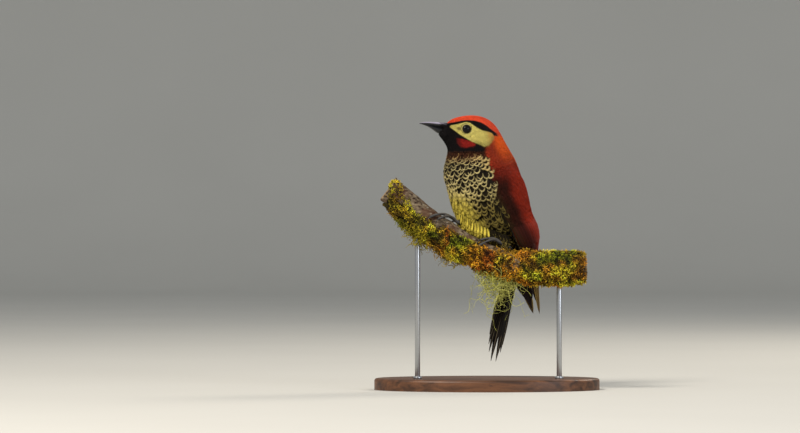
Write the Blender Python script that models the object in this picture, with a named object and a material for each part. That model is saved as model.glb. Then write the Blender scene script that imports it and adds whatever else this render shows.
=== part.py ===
"""A crimson-mantled woodpecker (Colaptes rivolii, male) on a mossy perch, as a still museum model.

Run it with: blender --background --python part.py, or from Blender's text editor.
Metres, +Z up. The bird faces -X, turned a little towards -Y. The origin is the middle of the
stand's underside. Lengths below are millimetres, and mm() turns them into Blender's metres.

The bird is drawn in its own middle plane, as "forward" and "up" from a point at the hips, and that
plane is then swung to the bird's heading. The neck turns from the body's heading to the head's.
"""

import math

import bmesh
import bpy
from mathutils import Vector
from mathutils.bvhtree import BVHTree

GAP = 0.3  # air between neighbouring pieces

# Stand: a flat oval base and two rods that enter the perch from below.
BASE_LENGTH, BASE_WIDTH, BASE_HEIGHT = 214.0, 126.0, 11.0
BASE_EDGE = 2.5  # rounding of the base's upper edge
ROD_RADIUS, ROD_SINK = 2.5, 7.0  # the rods go this deep into the base and into the perch
ROD_PLACES = {"left": -66.0, "right": 68.0}

# Perch: a bent length of branch, its middle line as (along X, up Z).
PERCH_Y = -17.8
PERCH_LINE = (
    (-94.0, 190.0), (-76.0, 175.5), (-57.0, 160.5), (-38.0, 147.0), (-19.0, 135.0),
    (0.0, 126.0), (18.0, 119.5), (38.0, 116.5), (66.0, 115.5), (94.0, 116.0),
)
PERCH_RADIUS = 13.0

# Moss cushions on the perch: from and to along X, from and to round the branch in degrees (0 is its
# top and 90 the side the bird's left faces), and thickness.
MOSS = {
    "moss_under": (-90.0, -14.0, 96.0, 236.0, 5.0),
    "moss_side": (-46.0, 22.0, 62.0, 92.0, 2.6),
    "moss_middle": (-11.0, 24.0, 96.0, 230.0, 3.0),
    "moss_end": (29.0, 91.0, -24.0, 206.0, 3.4),
}

# Bird: the hip point, and the headings of the body and of the head, in degrees from -X towards -Y.
HIP = (17.0, 12.0, 142.0)
BODY_HEADING, HEAD_HEADING = 28.0, 12.0

# Stations of the body from the bill to the tail root: forward, up, half depth, half width,
# lean of the back direction above the horizontal, and how far the neck's turn has gone (1 is the head).
STATIONS = {
    "bill_base": (63.1, 106.2, 7.3, 5.6, 50.0, 1.0),
    "lores": (58.2, 104.9, 11.4, 9.6, 66.0, 1.0),
    "eye": (50.7, 102.3, 17.4, 13.2, 65.0, 1.0),
    "ear": (44.9, 99.8, 23.3, 15.8, 54.0, 1.0),
    "nape": (39.8, 95.9, 28.3, 18.8, 45.0, 0.92),
    "hindneck": (36.2, 89.8, 32.2, 22.6, 38.0, 0.75),
    "throat": (33.6, 82.1, 34.0, 26.4, 31.0, 0.5),
    "neck_root": (30.6, 73.5, 35.4, 29.7, 26.0, 0.25),
    "shoulder": (26.7, 65.3, 36.3, 31.9, 22.0, 0.0),
    "breast": (23.3, 56.3, 36.6, 33.4, 22.0, 0.0),
    "waist": (19.3, 44.8, 37.1, 34.0, 22.0, 0.0),
    "belly": (15.0, 32.9, 36.4, 33.4, 22.0, 0.0),
    "flank": (9.8, 21.3, 33.8, 31.0, 21.0, 0.0),
    "hip": (2.2, 10.6, 27.6, 26.6, 15.0, 0.0),
    "vent": (-3.6, 0.6, 21.6, 20.6, 4.0, 0.0),
    "rump": (-7.6, -11.0, 14.6, 15.0, -7.0, 0.0),
    "coverts": (-9.4, -22.5, 9.0, 11.4, -12.0, 0.0),
    "tail_root": (-9.2, -33.0, 5.0, 8.6, -13.0, 0.0),
}
RINGS_PER_STATION, RING_POINTS = 2, 24
HEAD_END, NECK_END, TRUNK_END = 3.5, 7.0, 13.6  # where the body is parted, in stations

# Bill: the culmen, the line where the mandibles meet, and the lower edge, as (forward, up).
CULMEN = ((59.2, 111.2), (66.4, 111.9), (76.0, 112.4), (82.0, 111.9), (86.0, 110.7))
MOUTH_LINE = ((63.6, 106.2), (69.5, 107.6), (76.0, 109.1), (82.0, 110.2), (86.0, 110.6))
LOWER_EDGE = ((68.2, 100.9), (72.3, 104.3), (76.4, 106.9), (81.0, 109.0), (85.0, 110.2))
BILL_HALF_WIDTHS = (4.9, 4.1, 3.0, 1.9, 0.8)

# Eyes: centre as forward, up and side, and radius.
EYE = (43.0, 105.2, 11.8)
EYE_RADIUS = 4.8

# Wings: the line they fold about, from the shoulder to between the tips, as (forward, up). Their edges
# are in degrees round that line from the middle of the back, and the reach is how far they stand off
# it where no body carries them. Each list runs from the shoulder to the tips in equal steps.
WING_LINE = ((27.0, 66.0), (-32.4, -70.4))
WING_UPPER_EDGE = (58.0, 30.0, 20.0, 14.0, 9.0, 10.0, 62.0)
WING_LOWER_EDGE = (106.0, 120.0, 108.0, 103.0, 96.0, 96.0, 70.0)
WING_REACH = (10.0, 22.0, 30.0, 30.4, 20.4, 12.6, 6.0)
WING_THICKNESS, PRIMARY_THICKNESS = 2.1, 1.3
WING_BREAK = 0.56  # share of the length where the primaries come out from under the coverts

# Tail: its middle line, as (forward, up), and each side's feathers from the middle out, as the
# length's share of the line, the tip's distance from the middle and the depth under the first.
TAIL_LINE = ((-9.8, -35.0), (1.6, -75.0), (12.4, -115.6))
TAIL_FEATHERS = (
    (1.0, 4.8, 0.0), (0.9, 11.0, 1.0), (0.81, 13.8, 2.0), (0.7, 15.0, 3.0), (0.56, 14.8, 4.0),
)
TAIL_FEATHER_WIDTH, TAIL_FEATHER_THICKNESS = 8.6, 0.7

# Feet, as (along X, degrees round the perch): the foot's middle, then each toe's end and claw's tip.
FEET = {
    "left": {
        "foot": (15.5, -2.0),
        "toe_inner": ((-1.5, 8.0), (-8.0, 40.0)),
        "toe_outer": ((-3.0, 36.0), (-9.5, 62.0)),
        "toe_back": ((25.0, -38.0), (27.5, -62.0)),
        "toe_side": ((14.0, -50.0), (13.0, -76.0)),
    },
    "right": {
        "foot": (-29.5, 2.0),
        "toe_inner": ((-49.0, 14.0), (-56.5, 66.0)),
        "toe_outer": ((-43.0, 30.0), (-49.5, 58.0)),
        "toe_back": ((-30.0, -42.0), (-31.0, -68.0)),
        "toe_side": ((-38.5, -40.0), (-42.0, -64.0)),
    },
}
TOES = (("toe_inner", -8, 2.4), ("toe_outer", 9, 3.0), ("toe_back", 5, 0.1), ("toe_side", -3, 0.1))
TOE_RADIUS, CLAW_RADIUS, SHANK_RADIUS = 2.0, 1.3, 2.1
TOE_START = 6.0  # from the foot's middle
KNEES = {"left": (14.0, 17.0, 20.0), "right": (34.0, 26.0, -6.0)}  # where shanks enter the belly


def mm(*values):
    """Millimetres as Blender's metres: a number, or a Vector of three."""
    return values[0] / 1000 if len(values) == 1 else Vector(values) / 1000


def along(points, t):
    """A smooth curve through the points (tuples of any length), t from 0 to len - 1."""
    last = len(points) - 1
    i = min(int(t), last - 1)
    u = t - i
    before, a, b, after = (points[min(max(j, 0), last)] for j in (i - 1, i, i + 1, i + 2))
    return [
        0.5 * (2 * q + (r - p) * u + (2 * p - 5 * q + 4 * r - s) * u * u + (3 * q - p - 3 * r + s) * u**3)
        for p, q, r, s in zip(before, a, b, after)
    ]


def heading_vectors(degrees_from_x):
    """Unit vectors forward and to the bird's left for a heading."""
    a = math.radians(degrees_from_x)
    return Vector((-math.cos(a), -math.sin(a), 0)), Vector((math.sin(a), -math.cos(a), 0))


def neck_pivot():
    """The middle-plane point about which the neck turns."""
    return STATIONS["shoulder"][0]


def place(forward, up, side=0.0, turned=0.0):
    """A point of the bird in space. turned is 0 for the body and 1 for the head."""
    body_forward, body_left = heading_vectors(BODY_HEADING)
    pivot = neck_pivot()
    heading = BODY_HEADING + (HEAD_HEADING - BODY_HEADING) * turned
    now_forward, now_left = heading_vectors(heading)
    origin = Vector(HIP)
    if forward > pivot:
        flat = body_forward * pivot + now_forward * (forward - pivot)
    else:
        flat = body_forward * forward
    return (origin + flat + now_left * side + Vector((0, 0, up))) / 1000


def new_object(name, mesh_source, material, collection=None):
    """Makes an object from a bmesh, smooth-shaded, in the bird's collection or the one given."""
    mesh = bpy.data.meshes.new(name)
    bmesh.ops.recalc_face_normals(mesh_source, faces=mesh_source.faces)
    mesh_source.to_mesh(mesh)
    mesh_source.free()
    mesh.shade_smooth()
    mesh.set_sharp_from_angle(angle=math.radians(40))
    obj = bpy.data.objects.new(name, mesh)
    (collection or MODEL).objects.link(obj)
    obj.data.materials.append(material)
    return obj


def loft(rings):
    """A closed bmesh through unlike sections of equal point count, with flat ends."""
    bm = bmesh.new()
    made = [[bm.verts.new(p) for p in ring] for ring in rings]
    count = len(rings[0])
    for first, second in zip(made, made[1:]):
        for i in range(count):
            j = (i + 1) % count
            bm.faces.new((first[i], first[j], second[j], second[i]))
    bm.faces.new(list(reversed(made[0])))
    bm.faces.new(made[-1])
    return bm


def tapered(name, points, radii, colour):
    """A round curve object through the points, with a radius in millimetres at each."""
    data = bpy.data.curves.new(name, "CURVE")
    data.dimensions = "3D"
    data.bevel_depth = mm(1.0)
    data.bevel_resolution = 1
    data.use_fill_caps = True
    spline = data.splines.new("POLY")
    spline.points.add(len(points) - 1)
    for knot, place_at, radius in zip(spline.points, points, radii):
        knot.co = (*place_at, 1)
        knot.radius = radius
    data.materials.append(colour)
    obj = bpy.data.objects.new(name, data)
    MODEL.objects.link(obj)
    return obj


def meshed(curve):
    """The curve object replaced by a closed mesh object, which can be cut."""
    name = curve.name
    bpy.context.view_layer.update()
    graph = bpy.context.evaluated_depsgraph_get()
    mesh = bpy.data.meshes.new_from_object(curve.evaluated_get(graph))
    bpy.data.objects.remove(curve)
    bm = bmesh.new()
    bm.from_mesh(mesh)
    bmesh.ops.remove_doubles(bm, verts=bm.verts, dist=1e-6)
    bm.to_mesh(mesh)
    bm.free()
    obj = bpy.data.objects.new(name, mesh)
    MODEL.objects.link(obj)
    return obj


def material(name, colour, roughness, metallic=0.0):
    made = bpy.data.materials.new(name)
    made.use_nodes = True
    shader = made.node_tree.nodes["Principled BSDF"]
    shader.inputs["Base Color"].default_value = (*colour, 1)
    shader.inputs["Roughness"].default_value = roughness
    shader.inputs["Metallic"].default_value = metallic
    made.diffuse_color = (*colour, 1)
    return made


# --- body -------------------------------------------------------------------------------------


def body_ring(t):
    """The ring of points round the body at station t, starting at the back and going to the left."""
    forward, up, depth, width, lean, turned = along(list(STATIONS.values()), t)
    back = math.cos(math.radians(lean)) * depth
    rise = math.sin(math.radians(lean)) * depth
    ring = []
    for k in range(RING_POINTS):
        a = 2 * math.pi * k / RING_POINTS
        toward_back, side = math.cos(a), math.sin(a)
        ring.append(place(forward - back * toward_back, up + rise * toward_back, width * side, turned))
    return ring


def body_piece(name, start, end, colour):
    """One length of the body, drawn back from both cuts by half the gap."""
    steps = [start + 0.02] + [
        t / RINGS_PER_STATION
        for t in range(len(STATIONS) * RINGS_PER_STATION)
        if start + 0.2 < t / RINGS_PER_STATION < end - 0.2
    ] + [end - 0.02]
    return new_object(name, loft([body_ring(t) for t in steps]), colour)


def whole_body(grow=0.0):
    """The undivided body, grown by so many millimetres."""
    count = (len(STATIONS) - 1) * RINGS_PER_STATION
    bm = loft([body_ring(t / RINGS_PER_STATION) for t in range(count + 1)])
    bmesh.ops.recalc_face_normals(bm, faces=bm.faces)
    if grow:
        bm.normal_update()
        for v in bm.verts:
            v.co += v.normal * grow / 1000
    return bm


# --- pieces cut with Booleans -----------------------------------------------------------------


def cutter(name, bm):
    obj = new_object(name, bm, PLAIN, CUTTERS)
    obj.hide_render = True
    obj.display_type = "WIRE"
    return obj


def cut(obj, tool):
    mod = obj.modifiers.new("cut_" + tool.name, "BOOLEAN")
    mod.operation, mod.solver, mod.object = "DIFFERENCE", "EXACT", tool


# --- head, bill, eyes -------------------------------------------------------------------------


def sphere(centre, radius, rings=8, segments=14):
    bm = bmesh.new()
    bmesh.ops.create_uvsphere(bm, u_segments=segments, v_segments=rings, radius=mm(radius))
    bmesh.ops.translate(bm, verts=bm.verts, vec=centre)
    return bm


def mandible(name, top_line, bottom_line, colour):
    """One half of the bill between two lines of the middle plane, from the face to the tip."""
    rings, steps, sides = [], 9, 12
    for s in range(steps):
        t = s / (steps - 1) * (len(top_line) - 1)
        top, bottom = along(top_line, t), along(bottom_line, t)
        width = along([(w,) for w in BILL_HALF_WIDTHS], t)[0]
        ring = []
        for k in range(sides):
            a = 2 * math.pi * (k + 0.5) / sides
            share = (1 + math.sin(a)) / 2
            side = width * math.copysign(abs(math.cos(a)) ** 0.8, math.cos(a))
            forward = bottom[0] + (top[0] - bottom[0]) * share
            up = bottom[1] + (top[1] - bottom[1]) * share
            ring.append(place(forward, up, side, 1.0))
        rings.append(ring)
    return new_object(name, loft(rings), colour)


def lowered(line, by):
    return tuple((forward, up - by) for forward, up in line)


def make_head():
    head = body_piece("head", 0.0, HEAD_END, CRIMSON)
    for side, word in ((1, "left"), (-1, "right")):
        centre = place(EYE[0], EYE[1], side * EYE[2], 1.0)
        cut(head, cutter("socket_" + word, sphere(centre, EYE_RADIUS + GAP)))
        new_object("eye_" + word, sphere(centre, EYE_RADIUS), EYE_BLACK)
    mandible("bill_upper", CULMEN, MOUTH_LINE, BILL_HORN)
    mandible("bill_lower", lowered(MOUTH_LINE, GAP), LOWER_EDGE, BILL_HORN)


# --- wings ------------------------------------------------------------------------------------


def at_share(values, share):
    """A smooth value from a list that runs from share 0 to share 1."""
    return along([(v,) for v in values], share * (len(values) - 1))[0]


def wing_point(tree, share, around, side, offset):
    """A point of the folded wing, lifted by offset from its inner face."""
    ends = [place(*end) for end in WING_LINE]
    axis = ends[0].lerp(ends[1], share)
    forward, left = heading_vectors(BODY_HEADING)
    back = left.cross((ends[1] - ends[0]).normalized())
    if back.dot(forward) > 0:
        back = -back
    a = math.radians(around)
    out = back * math.cos(a) + left * side * math.sin(a)
    hit = tree.ray_cast(axis + out * 0.09, -out, 0.089)
    held = (hit[0] - axis).dot(out) + mm(0.6) if hit[0] is not None else 0.0
    return axis + out * (max(held, mm(at_share(WING_REACH, share))) + mm(offset))


def wing_shell(tree, start, end, side, rows, columns, thickness):
    """A closed shell over the body between two shares of the wing's length."""
    rings = []
    for r in range(rows + 1):
        share = start + (end - start) * r / rows
        upper, lower = at_share(WING_UPPER_EDGE, share), at_share(WING_LOWER_EDGE, share)
        outer, inner = [], []
        for c in range(columns + 1):
            u = c / columns
            around = upper + (lower - upper) * u
            swell = 0.4 + 0.6 * math.sin(math.pi * u) ** 0.5
            outer.append(wing_point(tree, share, around, side, thickness * swell))
            inner.append(wing_point(tree, share, around, side, 0.0))
        rings.append(outer + inner[::-1])
    return loft(rings)


def make_wings(tree):
    for side, word in ((1, "left"), (-1, "right")):
        shell = wing_shell(tree, 0.02, WING_BREAK, side, 12, 9, WING_THICKNESS)
        new_object("wing_" + word, shell, CRIMSON)
        shell = wing_shell(tree, WING_BREAK + 0.003, 0.985, side, 9, 6, PRIMARY_THICKNESS)
        new_object("primaries_" + word, shell, WING_BROWN)


# --- tail -------------------------------------------------------------------------------------


def tail_feather(side, length, tip_side, depth):
    """One stiff tail feather: a thin closed blade that narrows to a point."""
    rows, rings = 10, []
    last = len(TAIL_LINE) - 1
    for r in range(rows + 1):
        s = r / rows
        forward, up = along(TAIL_LINE, s * length * last)
        sunk = depth * (1 - 0.25 * s)
        middle = 4.5 + (tip_side - 4.5) * s ** 0.8
        half = TAIL_FEATHER_WIDTH / 2 * (1 - 0.12 * s - 0.83 * max(0.0, (s - 0.55) / 0.45) ** 1.7)
        ring = []
        for across, lift in ((-1, 0.0), (0, 0.35), (1, 0.0), (1, -0.7), (0, -0.35), (-1, -0.7)):
            off = middle + across * half
            high = lift * TAIL_FEATHER_THICKNESS - sunk
            ring.append(place(forward - high * 0.97, up - high * 0.24, side * off))
        rings.append(ring)
    return loft(rings)


def make_tail():
    for side, word in ((1, "left"), (-1, "right")):
        for i, (length, tip_side, depth) in enumerate(TAIL_FEATHERS, 1):
            blade = tail_feather(side, length, tip_side, depth)
            new_object(f"tail_feather_{word}_{i}", blade, TAIL_BLACK)


# --- perch, legs and stand --------------------------------------------------------------------


def perch_at(x):
    """The perch's middle at x, its direction, and the direction of its top."""
    low, high = 0.0, len(PERCH_LINE) - 1.0
    for _ in range(30):
        t = (low + high) / 2
        low, high = (t, high) if along(PERCH_LINE, t)[0] < x else (low, t)
    before = along(PERCH_LINE, max(low - 0.05, 0.0))
    after = along(PERCH_LINE, min(low + 0.05, len(PERCH_LINE) - 1.001))
    ahead = Vector((after[0] - before[0], 0, after[1] - before[1])).normalized()
    return mm(x, PERCH_Y, along(PERCH_LINE, low)[1]), ahead, Vector((-ahead.z, 0, ahead.x))


def on_perch(x, around, lift):
    """A point lift above the bark, around degrees from its top towards -Y."""
    middle, _, top = perch_at(x)
    a = math.radians(around)
    return middle + (top * math.cos(a) + Vector((0, -1, 0)) * math.sin(a)) * mm(PERCH_RADIUS + lift)


def make_perch():
    ends = PERCH_LINE[0][0], PERCH_LINE[-1][0]
    steps, sides = 20, 20
    rings = []
    for s in range(steps + 1):
        x = ends[0] + (ends[1] - ends[0]) * s / steps
        ring = []
        for k in range(sides):
            hollow = -0.5 + 0.45 * math.sin(x / 7 + k) + 0.4 * math.sin(x / 13 - 2.0 * k)
            ring.append(on_perch(x, 360 * k / sides, min(0.0, hollow)))
        rings.append(ring)
    perch = new_object("perch", loft(rings), BARK)
    pads = [perch]
    for name, (start, end, low, high, thick) in MOSS.items():
        pads.append(new_object(name, moss_pad(start, end, low, high, thick), MOSS_GREEN))
    for word, x in ROD_PLACES.items():
        hole = cutter("hole_" + word, rod_shape(x, GAP))
        for pad in pads:
            if pad.name in ("perch", "moss_under", "moss_end"):
                cut(pad, hole)


def moss_pad(start, end, low, high, thick):
    """A lumpy cushion on the bark, thin at its rim."""
    rows, columns, rings = max(6, int((end - start) / 6.5)), max(4, int((high - low) / 20)), []
    for r in range(rows + 1):
        x, u = start + (end - start) * r / rows, r / rows
        outer, inner = [], []
        for c in range(columns + 1):
            v = c / columns
            around = low + (high - low) * v
            rim = min(1.0, 6 * min(u, 1 - u, v, 1 - v))
            lump = 0.72 + 0.28 * math.sin(x / 4.1 + around / 23) * math.cos(x / 6.3 - around / 17)
            outer.append(on_perch(x, around, 0.9 + thick * lump * rim))
            inner.append(on_perch(x, around, 0.35))
        rings.append(outer + inner[::-1])
    return loft(rings)


def toe_path(start, end, first_lift, arch, count):
    """Points from one place on the perch to another, standing off it like a bent toe."""
    points = []
    for i in range(count):
        s = i / (count - 1)
        x, around = start[0] + (end[0] - start[0]) * s, start[1] + (end[1] - start[1]) * s
        points.append(on_perch(x, around, first_lift + arch * math.sin(math.pi * s)))
    return points


def make_toe(name, foot, end, tip, spread, arch):
    """A toe from beside the foot's middle to its end, and the hooked claw from there to its tip."""
    reach = math.hypot(end[0] - foot[0], (end[1] - foot[1]) * 0.26)
    near = TOE_START / reach
    start = foot[0] + (end[0] - foot[0]) * near, foot[1] + (end[1] - foot[1]) * near + spread
    points = toe_path(start, end, TOE_RADIUS + 0.5, arch, 8)
    joints = [0.95 + 0.07 * math.cos(i * 2.1) for i in range(8)]
    tapered(name, points, [TOE_RADIUS * (1 - 0.036 * i) * w for i, w in enumerate(joints)], FOOT_GREY)
    ahead = (points[-1] - points[-2]).normalized()
    base = points[-1] + ahead * mm(0.75)
    point = on_perch(*tip, 0.9)
    knee = base + ahead * mm(3.4) + (on_perch(*tip, 4.0) - point) * 0.4
    curve = [base.lerp(knee, u).lerp(knee.lerp(point, u), u) for u in (i / 6 for i in range(7))]
    tapered(name.replace("toe", "claw"), curve, [CLAW_RADIUS * (1 - 0.14 * i) for i in range(7)], CLAW_HORN)


def make_legs(body):
    grown = cutter("body_grown", body)
    for word, feet in FEET.items():
        foot = feet["foot"]
        for toe, spread, arch in TOES:
            make_toe(f"{toe}_{word}", foot, *feet[toe], spread, arch)
        ankle, knee = on_perch(foot[0], foot[1], 3.2), place(*KNEES[word])
        points = [ankle.lerp(knee, i / 6) for i in range(7)]
        radii = [SHANK_RADIUS * w for w in (1.35, 1.1, 0.95, 0.95, 1.0, 1.1, 1.2)]
        cut(meshed(tapered("shank_" + word, points, radii, FOOT_GREY)), grown)


def rod_shape(x, grow):
    """A rod from inside the base to inside the perch, as drawn or grown to be its hole."""
    foot = BASE_HEIGHT - ROD_SINK - grow
    underside = perch_at(x)[0].z * 1000 - PERCH_RADIUS
    height = underside + ROD_SINK + grow - foot
    bm = bmesh.new()
    bmesh.ops.create_cone(
        bm, cap_ends=True, segments=24, radius1=mm(ROD_RADIUS + grow), radius2=mm(ROD_RADIUS + grow),
        depth=mm(height),
    )
    bmesh.ops.translate(bm, verts=bm.verts, vec=mm(x, PERCH_Y, foot + height / 2))
    return bm


def make_stand():
    bm = bmesh.new()
    bmesh.ops.create_cone(bm, cap_ends=True, segments=56, radius1=0.5, radius2=0.5, depth=mm(BASE_HEIGHT))
    bmesh.ops.scale(bm, verts=bm.verts, vec=Vector((mm(BASE_LENGTH), mm(BASE_WIDTH), 1)))
    bmesh.ops.translate(bm, verts=bm.verts, vec=mm(0, 0, BASE_HEIGHT / 2))
    rim = [e for e in bm.edges if all(v.co.z > mm(BASE_HEIGHT) * 0.9 for v in e.verts)]
    bmesh.ops.bevel(bm, geom=rim, offset=mm(BASE_EDGE), segments=3, profile=0.5, affect="EDGES")
    base = new_object("stand_base", bm, STAND_WOOD)
    for word, x in ROD_PLACES.items():
        cut(base, bpy.data.objects["hole_" + word])
        new_object("stand_rod_" + word, rod_shape(x, 0.0), STEEL)


# --- collections and materials ----------------------------------------------------------------


def new_collection(name):
    made = bpy.data.collections.new(name)
    bpy.context.scene.collection.children.link(made)
    return made


for old in list(bpy.data.objects):
    bpy.data.objects.remove(old)

MODEL = new_collection("woodpecker")
CUTTERS = new_collection("cutters")

CRIMSON = material("crimson_plumage", (0.36, 0.02, 0.015), 0.8)
BREAST = material("breast_plumage", (0.55, 0.5, 0.2), 0.85)
WING_BROWN = material("flight_feathers", (0.05, 0.03, 0.025), 0.6)
TAIL_BLACK = material("tail_feathers", (0.015, 0.013, 0.013), 0.55)
BILL_HORN = material("bill_horn", (0.03, 0.03, 0.035), 0.35)
EYE_BLACK = material("eye", (0.01, 0.008, 0.008), 0.05)
FOOT_GREY = material("foot_scutes", (0.12, 0.12, 0.12), 0.5)
CLAW_HORN = material("claw_horn", (0.06, 0.055, 0.05), 0.3)
BARK = material("bark", (0.16, 0.12, 0.1), 0.9)
MOSS_GREEN = material("moss", (0.3, 0.22, 0.03), 0.95)
STAND_WOOD = material("stand_wood", (0.06, 0.035, 0.02), 0.4)
STEEL = material("stand_steel", (0.5, 0.5, 0.5), 0.3, 1.0)
PLAIN = material("cutter", (0.5, 0.5, 0.5), 0.5)


def main():
    make_head()
    body_piece("neck", HEAD_END, NECK_END, CRIMSON)
    body_piece("trunk", NECK_END, TRUNK_END, BREAST)
    body_piece("tail_coverts", TRUNK_END, len(STATIONS) - 1, BREAST)
    make_wings(BVHTree.FromBMesh(whole_body()))
    make_tail()
    make_perch()
    make_legs(whole_body(grow=GAP))
    make_stand()


main()
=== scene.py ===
import math

import bmesh
import bpy
import numpy as np
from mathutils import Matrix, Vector
from mathutils.bvhtree import BVHTree


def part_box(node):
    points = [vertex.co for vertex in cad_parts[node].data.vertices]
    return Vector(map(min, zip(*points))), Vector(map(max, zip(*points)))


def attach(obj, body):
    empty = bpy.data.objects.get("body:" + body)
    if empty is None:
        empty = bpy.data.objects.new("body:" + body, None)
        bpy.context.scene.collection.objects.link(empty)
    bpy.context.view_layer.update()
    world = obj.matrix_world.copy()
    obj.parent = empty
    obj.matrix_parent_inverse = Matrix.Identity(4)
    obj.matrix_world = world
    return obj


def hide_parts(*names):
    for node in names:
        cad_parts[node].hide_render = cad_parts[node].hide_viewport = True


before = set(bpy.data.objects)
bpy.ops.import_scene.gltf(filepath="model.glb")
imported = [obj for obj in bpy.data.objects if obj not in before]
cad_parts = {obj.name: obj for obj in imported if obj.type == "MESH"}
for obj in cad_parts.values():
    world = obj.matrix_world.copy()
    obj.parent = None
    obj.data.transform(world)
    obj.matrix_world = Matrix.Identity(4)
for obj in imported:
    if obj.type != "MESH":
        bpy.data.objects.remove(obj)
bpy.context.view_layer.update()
scene = bpy.context.scene
chance = np.random.default_rng(7)

# The bird's plan, in millimetres: how far ahead of the hip, to its left, and above it.
bird = {
    "hip": (17.0, 12.0, 142.0),
    "bodyHeading": 28.0,  # degrees from -X towards -Y
    "headHeading": 12.0,
    "turnAhead": 26.7,  # the neck turns this far ahead of the hip
    "turnHeights": (65.3, 73.5, 82.1, 89.8, 95.9, 99.8),
    "turnShares": (0.0, 0.25, 0.5, 0.75, 0.92, 1.0),
    "spine": (
        (66.0, 108.0), (58.2, 105.2), (50.7, 102.3), (44.9, 99.8), (39.8, 95.9), (36.2, 89.8),
        (33.6, 82.1), (30.6, 73.5), (26.7, 65.3), (19.3, 44.8), (9.8, 21.3), (-3.6, 0.6),
        (-9.4, -22.5), (-9.2, -33.0), (-6.0, -52.0),
    ),
    "eye": (43.0, 105.2, 11.8),  # ahead, up, to the side
    "eyeRadius": 4.8,
}
sideSigns = {"left": 1, "right": -1}


def headingAt(up):
    share = np.interp(up, bird["turnHeights"], bird["turnShares"])
    return np.radians(bird["bodyHeading"] + (bird["headHeading"] - bird["bodyHeading"]) * share)


def neckPivot():
    turn = math.radians(bird["bodyHeading"])
    hip = bird["hip"]
    return hip[0] - bird["turnAhead"] * math.cos(turn), hip[1] - bird["turnAhead"] * math.sin(turn)


def toBird(points):
    # metres in the frame to millimetres ahead, left and up in the bird's plan
    spots = np.asarray(points, float).reshape(-1, 3) * 1000
    up = spots[:, 2] - bird["hip"][2]
    turn = headingAt(up)
    pivot = neckPivot()
    dx = spots[:, 0] - pivot[0]
    dy = spots[:, 1] - pivot[1]
    ahead = bird["turnAhead"] - dx * np.cos(turn) - dy * np.sin(turn)
    return np.stack([ahead, dx * np.sin(turn) - dy * np.cos(turn), up], axis=1)


def fromBird(ahead, left, up):
    turn = headingAt(up)
    pivot = neckPivot()
    back = bird["turnAhead"] - np.asarray(ahead, float)
    x = pivot[0] + back * np.cos(turn) + left * np.sin(turn)
    y = pivot[1] + back * np.sin(turn) - left * np.cos(turn)
    return np.stack(np.broadcast_arrays(x, y, up + bird["hip"][2]), axis=-1) / 1000


def birdDirection(ahead, left, up, height):
    # a direction of the plan, turned as the body is at that height
    turn = headingAt(height)
    x = -ahead * np.cos(turn) + left * np.sin(turn)
    y = -ahead * np.sin(turn) - left * np.cos(turn)
    return unit(np.stack(np.broadcast_arrays(x, y, up), axis=-1))


def unit(vectors):
    return vectors / np.maximum(np.linalg.norm(vectors, axis=-1, keepdims=True), 1e-12)


def smoothStep(low, high, value):
    t = np.clip((value - low) / (high - low), 0, 1)
    return t * t * (3 - 2 * t)


def spineSamples():
    # places, directions towards the tail and distances from the bill along the spine
    line = np.array(bird["spine"])
    steps = np.concatenate([[0], np.cumsum(np.linalg.norm(np.diff(line, axis=0), axis=1))])
    at = np.linspace(0, steps[-1], 90)
    places = np.stack([np.interp(at, steps, line[:, k]) for k in (0, 1)], axis=1)
    return places, unit(np.gradient(places, axis=0)), at


def spineWeights(plan, reach):
    places = spineSamples()[0]
    away = (plan[:, :1] - places[:, 0]) ** 2 + (plan[:, 2:] - places[:, 1]) ** 2
    weights = np.exp((away.min(axis=1, keepdims=True) - away) / (2 * reach ** 2))
    return weights / weights.sum(axis=1, keepdims=True)


def alongSpine(plan):
    return spineWeights(plan, 5.0) @ spineSamples()[2]


def spineLie(plan):
    # the way that feathers point: from the bill to the tail
    run = spineWeights(plan, 9.0) @ spineSamples()[1]
    return birdDirection(run[:, 0], 0 * run[:, 0], run[:, 1], plan[:, 2])


def eyeDistance(plan):
    return np.hypot(plan[:, 0] - bird["eye"][0], plan[:, 2] - bird["eye"][1])


def linear(code):
    # an sRGB hex colour as linear light, opaque
    parts = [int(code[i:i + 2], 16) / 255 for i in (0, 2, 4)]
    return (*[p / 12.92 if p < 0.04045 else ((p + 0.055) / 1.055) ** 2.4 for p in parts], 1.0)


def tone(code):
    # the same, as red, green and blue to reckon with
    return np.array(linear(code)[:3])


def withAlpha(colours, alpha=1.0):
    # rows for a colour layer
    alpha = np.broadcast_to(alpha, len(colours))[:, None]
    return np.concatenate([np.clip(colours, 0, 1), alpha], axis=1)


def addNode(tree, kind, sockets=None, out=0, **settings):
    # a node with its settings, links and sRGB colours; what comes back is one of its outputs
    made = tree.nodes.new("ShaderNode" + kind)
    for name, value in settings.items():
        setattr(made, name, value)
    for name, value in (sockets or {}).items():
        if isinstance(value, bpy.types.NodeSocket):
            tree.links.new(value, made.inputs[name])
        else:
            made.inputs[name].default_value = linear(value) if isinstance(value, str) else value
    return made.outputs[out]


def newMaterial(name, **constants):
    # a material and its nodes; constants are set on the surface shader's own sockets
    material = bpy.data.materials.new(name)
    material.use_nodes = True
    shader = material.node_tree.nodes["Principled BSDF"]
    for socket, value in constants.items():
        shader.inputs[socket.replace("_", " ")].default_value = value
    return material, material.node_tree


def finished(material, colour, height=None, strength=0.0, depth=0.0):
    # the material with its colour and, from a height, its bump, whose depth is in millimetres
    tree = material.node_tree
    shader = tree.nodes["Principled BSDF"]
    tree.links.new(colour, shader.inputs["Base Color"])
    if height is not None:
        bump = addNode(tree, "Bump", {"Height": height, "Strength": strength, "Distance": depth / 1000})
        tree.links.new(bump, shader.inputs["Normal"])
    return material


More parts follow.
